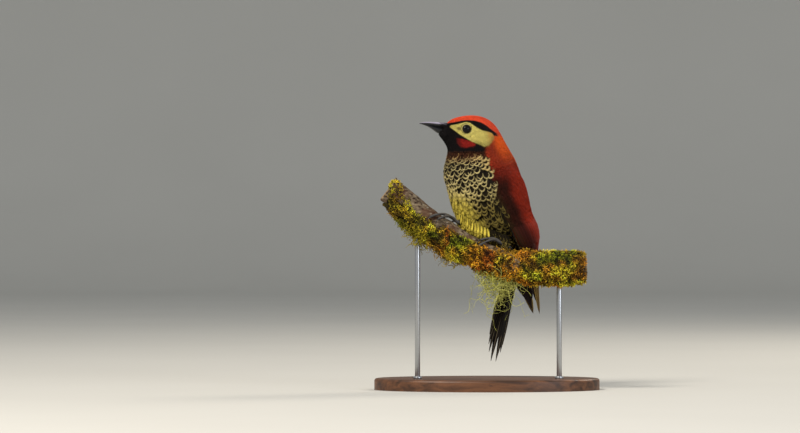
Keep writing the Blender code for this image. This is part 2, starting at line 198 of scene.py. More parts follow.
def objectPlaces(tree, scale=None):
    # places on the object in metres; with a scale for each axis, a pattern is drawn out along one
    places = addNode(tree, "TexCoord", out="Object")
    return places if scale is None else addNode(tree, "Mapping", {"Vector": places, "Scale": scale})


def toned(tree, colour, noise, dark, light):
    # the colour made darker and lighter by the noise
    shade = addNode(tree, "MapRange", {0: noise, 1: 0.3, 2: 0.7, 3: dark, 4: light})
    return addNode(tree, "VectorMath", {0: colour, "Scale": shade}, operation="SCALE")


def mergedCopy(*nodes):
    # the CAD nodes' meshes in one bmesh, with their loose triangles sewn together
    bm = bmesh.new()
    for name in nodes:
        bm.from_mesh(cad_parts[name].data)
    bmesh.ops.remove_doubles(bm, verts=bm.verts, dist=1e-6)
    return bm


def spotsOf(bm):
    return np.array([v.co for v in bm.verts])


def finishPiece(name, mesh, material, slot, replaced=(), **layers):
    # a layer holds a number, or a colour with its alpha, for each point, and the material reads it
    for layerName, values in layers.items():
        if values.ndim == 1:
            data = mesh.attributes.new(layerName, "FLOAT", "POINT").data
            data.foreach_set("value", values.astype(np.float32))
        else:
            data = mesh.color_attributes.new(layerName, "FLOAT_COLOR", "POINT").data
            data.foreach_set("color", values.astype(np.float32).ravel())
    piece = bpy.data.objects.new(name, mesh)
    scene.collection.objects.link(piece)
    mesh.materials.append(material)
    mesh.polygons.foreach_set("use_smooth", [True] * len(mesh.polygons))
    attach(piece, "root")
    if replaced:
        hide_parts(*replaced)
    return piece


def meshOf(name, bm):
    mesh = bpy.data.meshes.new(name)
    bm.to_mesh(mesh)
    bm.free()
    return mesh


def pieceOf(name, bm, material, slot, replaced=(), **layers):
    return finishPiece(name, meshOf(name, bm), material, slot, replaced, **layers)


def modified(bm, kind, **settings):
    # the shape in bm as one modifier leaves it
    holder = bpy.data.objects.new("modified", meshOf("modified", bm))
    scene.collection.objects.link(holder)
    change = holder.modifiers.new("change", kind)
    for name, value in settings.items():
        setattr(change, name, value)
    bpy.context.view_layer.update()
    made = bmesh.new()
    made.from_mesh(holder.evaluated_get(bpy.context.evaluated_depsgraph_get()).to_mesh())
    bpy.data.objects.remove(holder)
    return made


def smoothed(bm, rounds):
    for _ in range(rounds):
        bmesh.ops.smooth_vert(
            bm, verts=bm.verts, factor=0.5, use_axis_x=True, use_axis_y=True, use_axis_z=True
        )
    return bm


def remeshed(bm, voxel, rounds):
    # one closed surface round all the shapes in bm, smoothed; voxel is in millimetres
    return smoothed(modified(bm, "REMESH", mode="VOXEL", voxel_size=voxel / 1000), rounds)


def raised(bm, heights):
    # moves each point out along its normal, in millimetres
    bm.normal_update()
    for vertex, height in zip(bm.verts, heights):
        vertex.co += vertex.normal * float(height) / 1000
    bm.normal_update()
    return bm


def sunk(bm, surface, depth):
    # moves each point in from the surface, by a depth in millimetres
    places = surface["points"] - surface["normals"] * depth / 1000
    for vertex, place in zip(bm.verts, places):
        vertex.co = place
    return places


def surfaceOf(bm):
    # what feathers need of a surface: a search tree, triangles, points and normals
    bmesh.ops.triangulate(bm, faces=bm.faces)
    bm.normal_update()
    bm.verts.index_update()
    return {
        "tree": BVHTree.FromBMesh(bm),
        "points": spotsOf(bm),
        "normals": np.array([v.normal for v in bm.verts]),
        "faces": np.array([[v.index for v in f.verts] for f in bm.faces]),
    }


def nearestOn(surface, points):
    places = np.empty((len(points), 3))
    found = np.empty(len(points), int)
    tree = surface["tree"]
    for i, point in enumerate(points.tolist()):
        hit = tree.find_nearest(point)
        places[i] = hit[0]
        found[i] = hit[2]
    corners = surface["faces"][found]
    sides = surface["points"][corners] - places[:, None]
    shares = 1 / (np.linalg.norm(sides, axis=2, keepdims=True) + 1e-5)
    return places, unit((surface["normals"][corners] * shares).sum(axis=1))


def scatter(surface, spacingAt, wanted):
    # places on a surface, no two closer than the spacing there, in millimetres
    tries = 3.2  # for each place that finds room
    corners = surface["points"][surface["faces"]]
    areas = np.linalg.norm(np.cross(corners[:, 1] - corners[:, 0], corners[:, 2] - corners[:, 0]), axis=1)
    middles = corners.mean(axis=1)
    spacing = spacingAt(middles) if callable(spacingAt) else np.full(len(middles), spacingAt)
    hope = np.where(wanted(middles), areas / spacing ** 2, 0)
    count = int(tries * 0.5e6 * hope.sum())
    picked = chance.choice(len(areas), count, p=hope / hope.sum())
    mix = chance.dirichlet((1, 1, 1), count)
    points = (corners[picked] * mix[:, :, None]).sum(axis=1)
    spacing = spacing[picked] / 1000
    cell = spacing.max()
    grid = {}
    kept = []
    for i, (point, gap) in enumerate(zip(points.tolist(), spacing.tolist())):
        key = tuple(int(c // cell) for c in point)
        near = (
            j
            for dx in (-1, 0, 1)
            for dy in (-1, 0, 1)
            for dz in (-1, 0, 1)
            for j in grid.get((key[0] + dx, key[1] + dy, key[2] + dz), ())
        )
        if all(math.dist(point, points[j]) > gap for j in near):
            grid.setdefault(key, []).append(i)
            kept.append(i)
    return points[kept]


def vaneShape(rows, columns, outline, thickness, camber):
    # rows are shares of the length; outline gives the half width at each of them
    if columns == 2:
        across, lift = (-1, 0, 1, 0), (0, 1, 0, -1)
    else:
        across, lift = (-1, -0.5, 0, 0.5, 1, 0.5, 0, -0.5), (0, 0.8, 1, 0.8, 0, -0.8, -1, -0.8)
    rows = np.array(rows)
    return {
        "rows": rows,
        "stations": np.concatenate([[0], rows, [1]]),
        "across": np.array(across, float),
        "lift": np.array(lift, float),
        "outline": outline(rows),
        "thickness": thickness,
        "camber": camber,
    }


def roundTip(t):
    return np.minimum(0.3 + 2.2 * t, 1) * np.sqrt(np.clip(1 - ((t - 0.55) / 0.46).clip(0) ** 2.4, 0, 1))


def softTip(t):
    return np.minimum(0.3 + 2.2 * t, 1) * np.clip(1 - ((t - 0.4) / 0.62).clip(0) ** 1.7, 0, 1)


def vanePoints(shape, middles, normals, aheads, width):
    # middles, normals and aheads are (feather, station, 3), with a station at each end of the rows
    sides = unit(np.cross(aheads, normals))
    half = shape["outline"][None, :, None, None] * width[:, None, None, None] / 2000
    lift = shape["lift"][:, None] * shape["thickness"] / 2000
    drop = shape["camber"] * shape["across"][:, None] ** 2 * half
    rings = (
        middles[:, 1:-1, None]
        + sides[:, 1:-1, None] * shape["across"][:, None] * half
        + normals[:, 1:-1, None] * (lift - drop)
    )
    rings = rings.reshape(len(middles), -1, 3)
    return np.concatenate([middles[:, :1], rings, middles[:, -1:]], axis=1)


def vaneFaces(shape, count):
    rows, columns = len(shape["rows"]), len(shape["across"])
    quads, tris = [], []
    for k in range(columns):
        following = (k + 1) % columns
        for r in range(rows - 1):
            near, far = 1 + r * columns, 1 + (r + 1) * columns
            quads.append((near + k, near + following, far + following, far + k))
        last = 1 + (rows - 1) * columns
        tris.append((0, 1 + following, 1 + k))
        tris.append((1 + rows * columns, last + k, last + following))
    starts = np.arange(count)[:, None, None] * (2 + rows * columns)
    return (np.array(quads) + starts).reshape(-1, 4), (np.array(tris) + starts).reshape(-1, 3)


def vaneMap(shape):
    # across and along each feather, from 0 to 1
    rows = np.repeat(shape["rows"], len(shape["across"]))
    across = np.tile((shape["across"] + 1) / 2, len(shape["rows"]))
    return np.concatenate([[(0.5, 0)], np.stack([across, rows], axis=1), [(0.5, 1)]])


def meshFromArrays(name, points, quads, tris):
    mesh = bpy.data.meshes.new(name)
    mesh.vertices.add(len(points))
    mesh.vertices.foreach_set("co", points.astype(np.float32).ravel())
    corners = np.concatenate([quads.ravel(), tris.ravel()]).astype(np.int32)
    mesh.loops.add(len(corners))
    mesh.loops.foreach_set("vertex_index", corners)
    starts = np.concatenate([np.arange(len(quads)) * 4, quads.size + np.arange(len(tris)) * 3])
    mesh.polygons.add(len(starts))
    mesh.polygons.foreach_set("loop_start", starts.astype(np.int32))
    mesh.update(calc_edges=True)
    return mesh, corners


def addMap(mesh, name, places, corners):
    layer = mesh.uv_layers.new(name=name)
    layer.data.foreach_set("uv", places[corners].astype(np.float32).ravel())


def unwrapped(plan):
    # the skin's own unwrap: round the spine, and along it
    weights = spineWeights(plan, 5.0)
    places, runs, _ = spineSamples()
    middle, run = weights @ places, weights @ runs
    out = (plan[:, 0] - middle[:, 0]) * run[:, 1] - (plan[:, 2] - middle[:, 1]) * run[:, 0]
    return np.stack([np.arctan2(plan[:, 1], -out), alongSpine(plan)], axis=1)


def fitted(places):
    # stretched to fill the square, short of its edges
    margin = 0.02
    low, high = places.min(axis=0), places.max(axis=0)
    return margin + (places - low) / (high - low) * (1 - 2 * margin)


def gridPlaces(count, columns):
    # separate places on a map for long vanes, row by row
    index = np.arange(count)
    rows = math.ceil(count / columns)
    return np.stack([(index % columns + 0.5) / columns, (index // columns + 0.5) / rows], axis=1)


def featherPiece(name, shape, points, rootPlaces, layers, material, slot, replaced=(), patch=0.003,
                 vane=None):
    # one mesh of many vanes; rootPlaces are on the piece's map, from 0 to 1, patch is how much of it
    # a vane takes, and vane is each vane's own place on its feather
    count = len(points)
    mesh, corners = meshFromArrays(name, points.reshape(-1, 3), *vaneFaces(shape, count))
    if vane is None:
        vane = np.tile(vaneMap(shape), (count, 1, 1))
    addMap(mesh, "vane", vane.reshape(-1, 2), corners)
    patches = rootPlaces[:, None] + (vane - 0.5) * patch
    addMap(mesh, "OFBake", np.clip(patches.reshape(-1, 2), 0.001, 0.999), corners)
    finishPiece(name, mesh, material, slot, replaced, **layers)


def growAlong(surface, roots, lies, size, form):
    # feathers that follow the surface, or hang free: they leave the skin at their root and reach
    # the coat's top
    spots, normals = nearestOn(surface, roots)
    middles, ups, aheads = [], [], []
    reached = 0.0
    heading = lies
    for t in form["vane"]["stations"]:
        step = (t - reached) * size["length"] / 1000
        if form.get("free"):
            spots = spots + heading * step[:, None]
        else:
            spots, normals = nearestOn(surface, spots + heading * step[:, None])
            heading = unit(heading - (heading * normals).sum(axis=1, keepdims=True) * normals)
        under = size["depth"] * (1 - t) ** 1.3 - form.get("stand", 0.1) * t ** 2
        middles.append(spots - normals * under[:, None] / 1000)
        ups.append(normals)
        aheads.append(heading)
        reached = t
    return np.stack(middles, axis=1), np.stack(ups, axis=1), np.stack(aheads, axis=1)


def growFeathers(surface, roots, lies, size, form):
    # each feather is a fan of narrow strips, so that its edge frays
    count, strips = len(roots), form["strips"]
    across = np.linspace(-1, 1, strips) if strips > 1 else np.zeros(1)
    normals = nearestOn(surface, roots)[1]
    sides = unit(np.cross(lies, normals))[:, None]
    half = size["width"][:, None] / 2
    length = size["length"][:, None] * (1 - form["point"] * np.abs(across) ** 2.2)
    length = length * chance.uniform(1 - form.get("fray", 0.07), 1.03, (count, strips))
    spread = (half * across * 0.72 / length)[:, :, None]
    ways = unit(lies[:, None] + sides * spread)
    bases = roots[:, None] + sides * (half * across * 0.28)[:, :, None] / 1000
    each = {"length": length.ravel(), "depth": np.repeat(size["depth"], strips)}
    each["depth"] = each["depth"] * chance.uniform(0.8, 1.1, count * strips)
    grown = growAlong(surface, bases.reshape(-1, 3), ways.reshape(-1, 3), each, form)
    narrow = min(2.2 / strips, 1.0)
    points = vanePoints(form["vane"], *grown, np.repeat(size["width"] * narrow, strips))
    own = vaneMap(form["vane"])
    x = 0.5 + 0.5 * (across[:, None] * 0.9 + (own[:, 0] * 2 - 1) * narrow * 0.5)
    maps = np.stack([x.clip(0, 1), np.broadcast_to(own[:, 1], x.shape)], axis=2)
    return points, np.tile(maps, (count, 1, 1))


# The plumage's colours, the same on skin and coat.
plumageColours = {
    "crown": "EC5230", "nape": "F0621A", "hindneck": "94321A", "mantle": "741E0E", "ridge": "8E2208",
    # the wings' near-black is partly the feathers' own dark bases, partly painted shade
    "wing": "2E0E05", "wingFront": "2A1A08", "face": "D0C26A", "patchRear": "C47A2A", "lid": "BFB46C",
    # the face's darker olive is painted shade
    "brow": "100C0D", "smudge": "6B5A30", "facePaintedShade": "8C8040", "malar": "8C1E18",
    "malarFront": "5A1614", "rust": "4A240E", "breast": "17110A", "scallop": "E0CE8E",
    "rustRim": "A8743E", "fluff": "BCA46A", "flank": "84743A", "flankDark": "1C1607", "belly": "D6C24C",
    "down": "8A6A58",
}
# The edges of its patches, in millimetres: on the head the height for each place ahead, on the body
# the place ahead for each height. The rim is how far along a feather it starts, for each height.
plumageMarks = {
    "patchTop": ((16.7, 98.7), (18.5, 101.1), (22.6, 102.6), (28.5, 103.8), (32.1, 105.9), (35.7, 108.3),
                 (39, 111.1), (43, 111.9), (47.5, 110.8), (52.2, 109.6), (56.7, 108.9), (58.2, 107.8)),
    "patchFoot": ((17.2, 96.8), (21.9, 92.1), (26, 89.2), (30.2, 88.3), (33.3, 90.3), (39.7, 93.2),
                  (44.3, 96.4), (49.2, 99.7), (53.6, 103.5), (57.8, 106.8)),
    "browTop": ((10.8, 98.7), (13.8, 101.6), (19, 105), (23.8, 108.8), (28.4, 111.4), (31.3, 112.3),
                (35, 113.2), (42.5, 113.6), (47.2, 113), (51.9, 112), (58.8, 110.8), (65.6, 109.6)),
    "malarTop": ((37.5, 91.6), (40.5, 93.5), (44.6, 94.9), (48.8, 95.8), (52.1, 96.4)),
    "malarFoot": ((37.5, 90), (38.2, 89.2), (41.1, 88.3), (46.5, 86.8), (50.2, 87.8), (52.7, 91.1)),
    "redEdge": ((-12, -3.2), (-6.7, -3.2), (4.7, 5.6), (18.9, 16.7), (28.4, 20.4), (36.9, 27), (45.5, 32),
                (59.7, 33.2), (71.1, 32), (83.5, 31), (90.5, 27)),
    "plainEdge": ((-10, 18), (4.7, 29.4), (15.1, 42.4), (23.6, 48.5), (30.3, 52.8), (38, 55.5), (45, 60)),
    "rim": ((-10, 0.8), (10, 0.8), (30, 0.8), (45, 0.81), (60, 0.83), (74, 0.84), (84, 0.87)),
}


def markAt(name, value):
    line = np.array(plumageMarks[name])
    return np.interp(value, line[:, 0], line[:, 1])


def ripple(points, scale, seed):
    # smooth noise from a few crossed waves, about -1 to 1
    value = np.zeros(len(points))
    turn = np.random.default_rng(seed)
    for k in range(9):
        way = unit(turn.normal(size=3)) * scale * (0.7 + 0.25 * k)
        value += np.sin(points @ way + turn.uniform(0, 6.28)) / (1 + 0.35 * k)
    return value / 3.2


def over(colour, name, share):
    # one of the plumage's colours laid over another
    return colour + (tone(plumageColours[name]) - colour) * np.clip(share, 0, 1)[:, None]


def backColour(plan, depth, stray):
    # red of the back, from orange on the nape to nearly black on the wings; the wings' dark middle is partly
    # the feathers' own dark bases and partly painted shade
    ahead, left, up = plan.T
    red = over(np.tile(tone(plumageColours["mantle"]), (len(plan), 1)), "ridge", smoothStep(17, 34, depth))
    # the wings' dark middle: partly the feathers' own colour, partly painted shade
    red = over(red, "wing", smoothStep(70, 50, up) * smoothStep(24, 13, depth))
    red = over(red, "wingFront", smoothStep(62, 44, up) * smoothStep(9, 2, depth))
    red = over(red, "hindneck", smoothStep(64, 78, up))
    red = over(red, "nape", smoothStep(70, 92, up) * smoothStep(23, 10, ahead + 2 * stray))
    red = over(red, "nape", 0.6 * smoothStep(50, 80, up + 4 * stray) * smoothStep(17, 8, np.abs(left)))
    return red * (1 + 0.16 * ripple(plan, 0.3, 6))[:, None]


def withHead(colour, plan, stray):
    # red crown, pale face between black throat and brow, and the male's red stripe under the face
    ahead, left, up = plan.T
    side = np.abs(left)

    def past(low, high, mark, height=up):
        return smoothStep(low, high, height - markAt(mark, ahead))

    onHead = smoothStep(83, 84.5, up + 1.5 * stray)
    throat = onHead * smoothStep(31, 34.5, ahead + 0.35 * (92 - up).clip(0))
    colour = over(colour, "brow", throat * past(0.6, -0.6, "browTop"))
    malar = past(-0.3, 1.2, "malarFoot", up + stray) * past(0.6, -0.6, "malarTop", up + stray)
    malar = malar * smoothStep(36.5, 38.5, ahead) * smoothStep(53.5, 50, ahead) * (side > 6)
    colour = over(colour, "malar", malar)
    colour = over(colour, "malarFront", malar * smoothStep(47, 51, ahead + 2 * stray))
    crown = past(-0.4, 0.4, "browTop") * smoothStep(62, 58.5, ahead)
    colour = over(colour, "crown", crown * onHead)
    brow = past(-0.4, 0.3, "patchTop") * past(0.4, -0.3, "browTop")
    colour = over(colour, "brow", brow * smoothStep(11, 14, ahead) * smoothStep(3, 5, side) * onHead)
    patch = past(-0.4, 0.4, "patchFoot") * past(0.4, -0.4, "patchTop")
    patch = patch * smoothStep(16.5, 19, ahead + stray) * smoothStep(58.5, 57, ahead) * (side > 5)
    colour = over(colour, "face", patch)
    colour = over(colour, "patchRear", patch * smoothStep(28, 18, ahead + 3 * stray) * 0.7)
    # painted shade: darker olive along the lower rear edge of the face patch, just above its foot
    low = past(4.5, 0.5, "patchFoot", up + stray) * smoothStep(42, 32, ahead)
    colour = over(colour, "facePaintedShade", patch * low * 0.7)
    colour = over(colour, "lid", smoothStep(5.3, 4.7, eyeDistance(plan)) * (side > 6))
    smudge = np.hypot(ahead - 50.0, up - 105.6)
    return over(colour, "smudge", 0.8 * smoothStep(2.4, 0.9, smudge) * (side > 6))


def plumageAt(plan):
    # ground colour, rim colour and where along a feather the rim starts, at places of the bird's plan
    ahead, left, up = plan.T
    side = np.abs(left)
    stray = ripple(plan, 0.9, 2) * 0.5
    depth = markAt("redEdge", up) - ahead
    # breast and flanks: dark feathers with pale rims; the middle of the belly is plain yellow
    whole = np.ones((len(plan), 1))
    colour = over(whole * tone(plumageColours["flankDark"]), "breast", smoothStep(36, 58, up))
    colour = over(colour, "rust", 0.5 * smoothStep(70, 80, up + 6 * stray))
    rim = whole * tone(plumageColours["flank"])
    rim = over(rim, "scallop", smoothStep(26, 56, up + 0.3 * (26 - side)))
    plain = smoothStep(-12, 2, ahead + 6 * stray - markAt("plainEdge", up))
    plain = plain * smoothStep(54, 32, up + 8 * stray)
    rim = over(rim, "belly", plain)
    rim = over(rim, "rustRim", 0.75 * smoothStep(70, 81, up + stray))
    # paler fluff where the breast meets the wing
    fluff = smoothStep(61, 66, up) * smoothStep(83, 78, up) * smoothStep(-10, -5, depth) * (side > 20)
    rim = over(rim, "fluff", fluff)
    start = markAt("rim", up) - 0.9 * plain - 0.2 * fluff
    back = smoothStep(-1.5, 1.5, depth - stray)
    back = back * (1 - smoothStep(-4, -16, up) * smoothStep(20, 12, side))
    colour = colour + (backColour(plan, depth, stray) - colour) * back[:, None]
    start = start + 1.5 * np.maximum(back, smoothStep(84.0, 85.2, up))
    return withHead(colour, plan, stray), rim, start


def feathersPaint(plan, count, spread):
    # the colour layers of count feathers, whose points are at these places
    size = len(plan) // count
    colour, rim, start = plumageAt(plan)
    each = np.repeat(chance.normal(1, spread, count), size)[:, None]
    start = start + np.repeat(chance.normal(0, 0.03, count), size)
    return {"plumage": withAlpha(colour * each), "marking": withAlpha(rim * each, start)}


def vaneCoordinates(tree):
    # how far a place on a feather is from its shaft, up to 0.5, and along it, up to 1
    vane = addNode(tree, "UVMap", uv_map="vane")
    across = addNode(tree, "SeparateXYZ", {0: vane})
    middle = addNode(tree, "Math", {0: across, 1: 0.5}, operation="SUBTRACT")
    away = addNode(tree, "Math", {0: middle}, operation="ABSOLUTE")
    return away, addNode(tree, "SeparateXYZ", {0: vane}, "Y")


def barbStreaks(tree, away, along, slope, barbs):
    # streaks from barb to barb, which slant from the shaft to the edge
    slant = addNode(tree, "Math", {0: away, 1: slope}, operation="MULTIPLY")
    slant = addNode(tree, "Math", {0: along, 1: slant}, operation="SUBTRACT")
    lines = addNode(tree, "CombineXYZ", {0: slant})
    return addNode(tree, "TexNoise", {"Vector": lines, "Scale": barbs, "Detail": 2.0})


def plumageMaterial(name, pattern, barbs):
    # body feather keratin: matt, with fine slanting barbs, and painted shade darkening each feather towards
    # its root
    material, tree = newMaterial(name, Roughness=0.85, Specular_IOR_Level=0.12)
    colour = addNode(tree, "Attribute", attribute_name="plumage")
    marking = addNode(tree, "Attribute", attribute_name="marking")
    away, along = vaneCoordinates(tree)
    if pattern == "rimmed":
        # pale rim along the rounded end, which starts where the marking's alpha says
        start = addNode(tree, "Attribute", out="Alpha", attribute_name="marking")
        bow = addNode(tree, "Math", {0: away, 1: 3.0}, operation="POWER")
        reach = addNode(tree, "Math", {0: along, 1: bow}, operation="ADD")
        past = addNode(tree, "Math", {0: reach, 1: start}, operation="SUBTRACT")
        mask = addNode(tree, "MapRange", {0: past, 1: -0.01, 2: 0.02})
        fade = addNode(tree, "MapRange", {0: away, 1: 0.25, 2: 0.5, 3: 1.0, 4: 0.3})
        mask = addNode(tree, "Math", {0: mask, 1: fade}, operation="MULTIPLY")
        colour = addNode(tree, "Mix", {0: mask, 6: colour, 7: marking}, 2, data_type="RGBA")
    elif pattern == "barred":
        # dark bars that bend towards the tip in the middle
        bend = addNode(tree, "Math", {0: away, 1: -0.55}, operation="MULTIPLY")
        bent = addNode(tree, "Math", {0: along, 1: bend}, operation="SUBTRACT")
        wave = addNode(tree, "Math", {0: bent, 1: 20.0}, operation="MULTIPLY")
        wave = addNode(tree, "Math", {0: wave}, operation="SINE")
        mask = addNode(tree, "MapRange", {0: wave, 1: 0.05, 2: 0.45})
        colour = addNode(tree, "Mix", {0: mask, 6: marking, 7: colour}, 2, data_type="RGBA")
    streaks = barbStreaks(tree, away, along, 0.8, barbs)
    # painted shade: each feather darkens to 0.82 of its colour towards its root, where the feathers above
    # cover it
    root = addNode(tree, "MapRange", {0: along, 1: 0.1, 2: 0.7, 3: 0.82, 4: 1.0})
    colour = addNode(tree, "VectorMath", {0: colour, "Scale": root}, operation="SCALE")
    return finished(material, toned(tree, colour, streaks, 0.84, 1.12), streaks, 0.4, 0.2)


# Skin: one closed surface inside the flesh nodes, by the coat's depth.
skinPlan = {
    "voxel": 0.9,
    "rounds": 14,
    "from": (0, 6, 20, 35, 60, 90, 130, 160, 180),  # millimetres from the bill, along the spine
    "depth": (0.5, 0.9, 1.2, 1.8, 3.0, 3.8, 3.6, 2.4, 1.0),
    "wingDepth": 0.8,
    "gaze": (0.16, 1.0, 0.1),  # ahead, to the side, up
    "lid": ((3.75, 2.8), (3.9, 3.1), (4.15, 3.0), (4.45, 2.5), (4.8, 1.5), (4.6, 0.4), (4.0, 0.9)),
}
fleshNodes = ("head", "neck", "trunk", "tail_coverts", "wing_left", "wing_right")
wingTrees = {word: BVHTree.FromBMesh(mergedCopy("wing_" + word)) for word in sideSigns}


def wingCloseness(points):
    # 1 on the folded wings, falling to 0 a little way off them
    away = np.array([
        min(tree.find_nearest(point)[3] for tree in wingTrees.values()) for point in points.tolist()
    ])
    return smoothStep(0.0030, 0.0012, away)


def coatDepth(points):
    plan = toBird(points)
    depth = np.interp(alongSpine(plan), skinPlan["from"], skinPlan["depth"])
    onHead = smoothStep(84, 90, plan[:, 2])
    depth = depth * (1 - onHead * smoothStep(10, 5, eyeDistance(plan)) * 0.6)
    wing = wingCloseness(points)
    return depth * (1 - wing) + skinPlan["wingDepth"] * wing


def eyePlace(side):
    ahead, up, out = bird["eye"]
    centre = Vector(fromBird(ahead, side * out, up))
    across = skinPlan["gaze"]
    return centre, Vector(birdDirection(across[0], side * across[1], across[2], up))


def addLids(bm):
    # a soft rim round each eye, from the eyeball out to the face
    for side in sideSigns.values():
        centre, gaze = eyePlace(side)
        away = gaze.orthogonal().normalized()
        ring = [
            bm.verts.new(centre + (away * r + gaze * h) / 1000) for r, h in skinPlan["lid"]
        ]
        profile = [bm.edges.new((ring[i - 1], ring[i])) for i in range(len(ring))]
        bmesh.ops.spin(
            bm, geom=ring + profile, cent=centre, axis=gaze, angle=2 * math.pi, steps=40, use_merge=True
        )


def makeSkin(bm, outer):
    sunk(bm, outer, coatDepth(outer["points"])[:, None])
    smoothed(bm, 1)
    count = len(bm.verts)
    addLids(bm)
    bmesh.ops.recalc_face_normals(bm, faces=bm.faces)
    plan = toBird(np.concatenate([outer["points"], spotsOf(bm)[count:]]))
    colour, rim, start = plumageAt(plan)
    pale = np.clip(0.8 - start, 0, 0.8)[:, None]
    colour = (colour + (rim - colour) * pale) * 0.55 + 0.03 * tone(plumageColours["down"])
    edge = smoothStep(4.3, 4.05, eyeDistance(plan[count:]))[:, None]
    colour[count:] = tone(plumageColours["lid"]) * (0.7 - 0.67 * edge)
    # living skin seen between feathers: matt, tinted by the down that grows on it
    material, tree = newMaterial("feathered skin", Roughness=0.75, Specular_IOR_Level=0.2)
    down = addNode(tree, "Attribute", attribute_name="plumage")
    places = objectPlaces(tree)
    fuzz = addNode(tree, "TexNoise", {"Vector": places, "Scale": 900.0, "Detail": 3.0})  # 1 mm tufts
    finished(material, toned(tree, down, fuzz, 0.75, 1.15), fuzz, 0.4, 0.3)
    pieceOf("skin", bm, material, "crimson_plumage", fleshNodes, plumage=withAlpha(colour))


print("skin")
outerShape = remeshed(mergedCopy(*fleshNodes), skinPlan["voxel"], skinPlan["rounds"])
outer = surfaceOf(outerShape)
makeSkin(outerShape, outer)

# Coat: small feathers over the whole skin.
coatPlan = {
    "from": (0, 8, 25, 45, 65, 100, 140, 175),  # millimetres from the bill, along the spine
    "spacing": (0.6, 0.66, 0.85, 1.15, 1.6, 2.1, 2.2, 2.3),
    "length": (2.0, 3.2, 5.5, 8.0, 10.5, 12.5, 13.0, 12.0),
    "width": (0.8, 1.0, 1.5, 2.2, 3.2, 3.8, 4.0, 4.2),
    "frontSpacing": 3.25,  # the scalloped feathers of breast and belly are broader
    "frontLength": 11.0,
    "frontWidth": 6.6,
    "covertFrom": (0.0, 0.15, 0.3, 0.5),  # shares of the folded wing's length
    "covertSpacing": (2.0, 2.4, 2.7, 3.0),
    "covertLength": (10.0, 12.0, 15.0, 20.0),
    "covertWidth": (3.4, 4.2, 4.8, 5.2),
    "covertsEnd": 0.52,
    "wingLine": ((27.0, 66.0), (-32.4, -70.4)),  # ahead and up, from the bend to the tip
    "bibCloser": 0.26,  # below the throat they stand closer and are shorter, by these shares
    "bibShorter": 0.34,
    "unruly": 0.09,  # how far each one strays from the way they lie
}
fineVane = vaneShape((0.15, 0.5, 0.85), 2, softTip, 0.07, 0.1)
silkyVane = vaneShape((0.1, 0.4, 0.75), 2, softTip, 0.07, 0.1)
bodyVane = vaneShape((0.1, 0.4, 0.7, 0.9), 2, softTip, 0.08, 0.1)
coatForms = {  # point is how much shorter the outer strips are than the middle one
    "fine": {"vane": fineVane, "strips": 3, "point": 0.25},
    "silky": {"vane": silkyVane, "strips": 3, "point": 0.3},
    "round": {"vane": bodyVane, "strips": 11, "point": 0.22, "fray": 0.0},
    "loose": {"vane": bodyVane, "strips": 5, "point": 0.35},
}
coatPieces = {  # form, pattern and how fine the barbs are
    "crown": ("silky", None, 30.0),
    "face": ("fine", None, 20.0),
    "breast_left": ("round", "rimmed", 30.0),
    "breast_right": ("round", "rimmed", 30.0),
    "mantle_left": ("loose", None, 34.0),
    "mantle_right": ("loose", None, 34.0),
    "rear": ("loose", "barred", 34.0),
}


def frontShare(plan):
    # 1 on breast and belly, 0 on head and back
    front = smoothStep(-2, 2, plan[:, 0] - markAt("redEdge", plan[:, 2]))
    return front * smoothStep(89, 83, plan[:, 2]) * smoothStep(-14, -6, plan[:, 2])


def bibShare(plan):
    # 1 just below the throat, where the breast's feathers are shorter
    return smoothStep(66, 80, plan[:, 2]) * frontShare(plan)


def wingShare(plan):
    start, end = np.array(coatPlan["wingLine"])
    run = end - start
    return ((plan[:, 0] - start[0]) * run[0] + (plan[:, 2] - start[1]) * run[1]) / (run @ run)


def shared(name, value, plan, wing):
    # a size of the back's feathers, changed to the front's and the wing coverts'
    value = value + (coatPlan["front" + name] - value) * frontShare(plan)
    covert = np.interp(wingShare(plan), coatPlan["covertFrom"], coatPlan["covert" + name])
    return value + (covert - value) * wing


def coatSpacing(points):
    plan = toBird(points)
    spacing = np.interp(alongSpine(plan), coatPlan["from"], coatPlan["spacing"])
    closer = 1 - coatPlan["bibCloser"] * bibShare(plan)
    return shared("Spacing", spacing, plan, wingCloseness(points)) * closer


def coatWanted(points):
    plan = toBird(points)
    clearOfEye = (eyeDistance(plan) > 4.15) | (np.abs(plan[:, 1]) < 7)
    covered = (wingShare(plan) > coatPlan["covertsEnd"]) & (wingCloseness(points) > 0.5)
    return clearOfEye & ~covered


def coatRegions(plan):
    # which coat piece each feather belongs to
    ahead, left, up = plan.T
    red = ahead < markAt("redEdge", up)
    head = up > 84
    crown = head & ((up > markAt("browTop", ahead)) & (ahead < 62) | (ahead < 17.5))
    region = np.where(left > 6, "breast_left", "breast_right")
    region[red] = np.where(left > 0, "mantle_left", "mantle_right")[red]
    region[(up < -6)] = "rear"
    region[head] = "face"
    region[crown] = "crown"
    return region


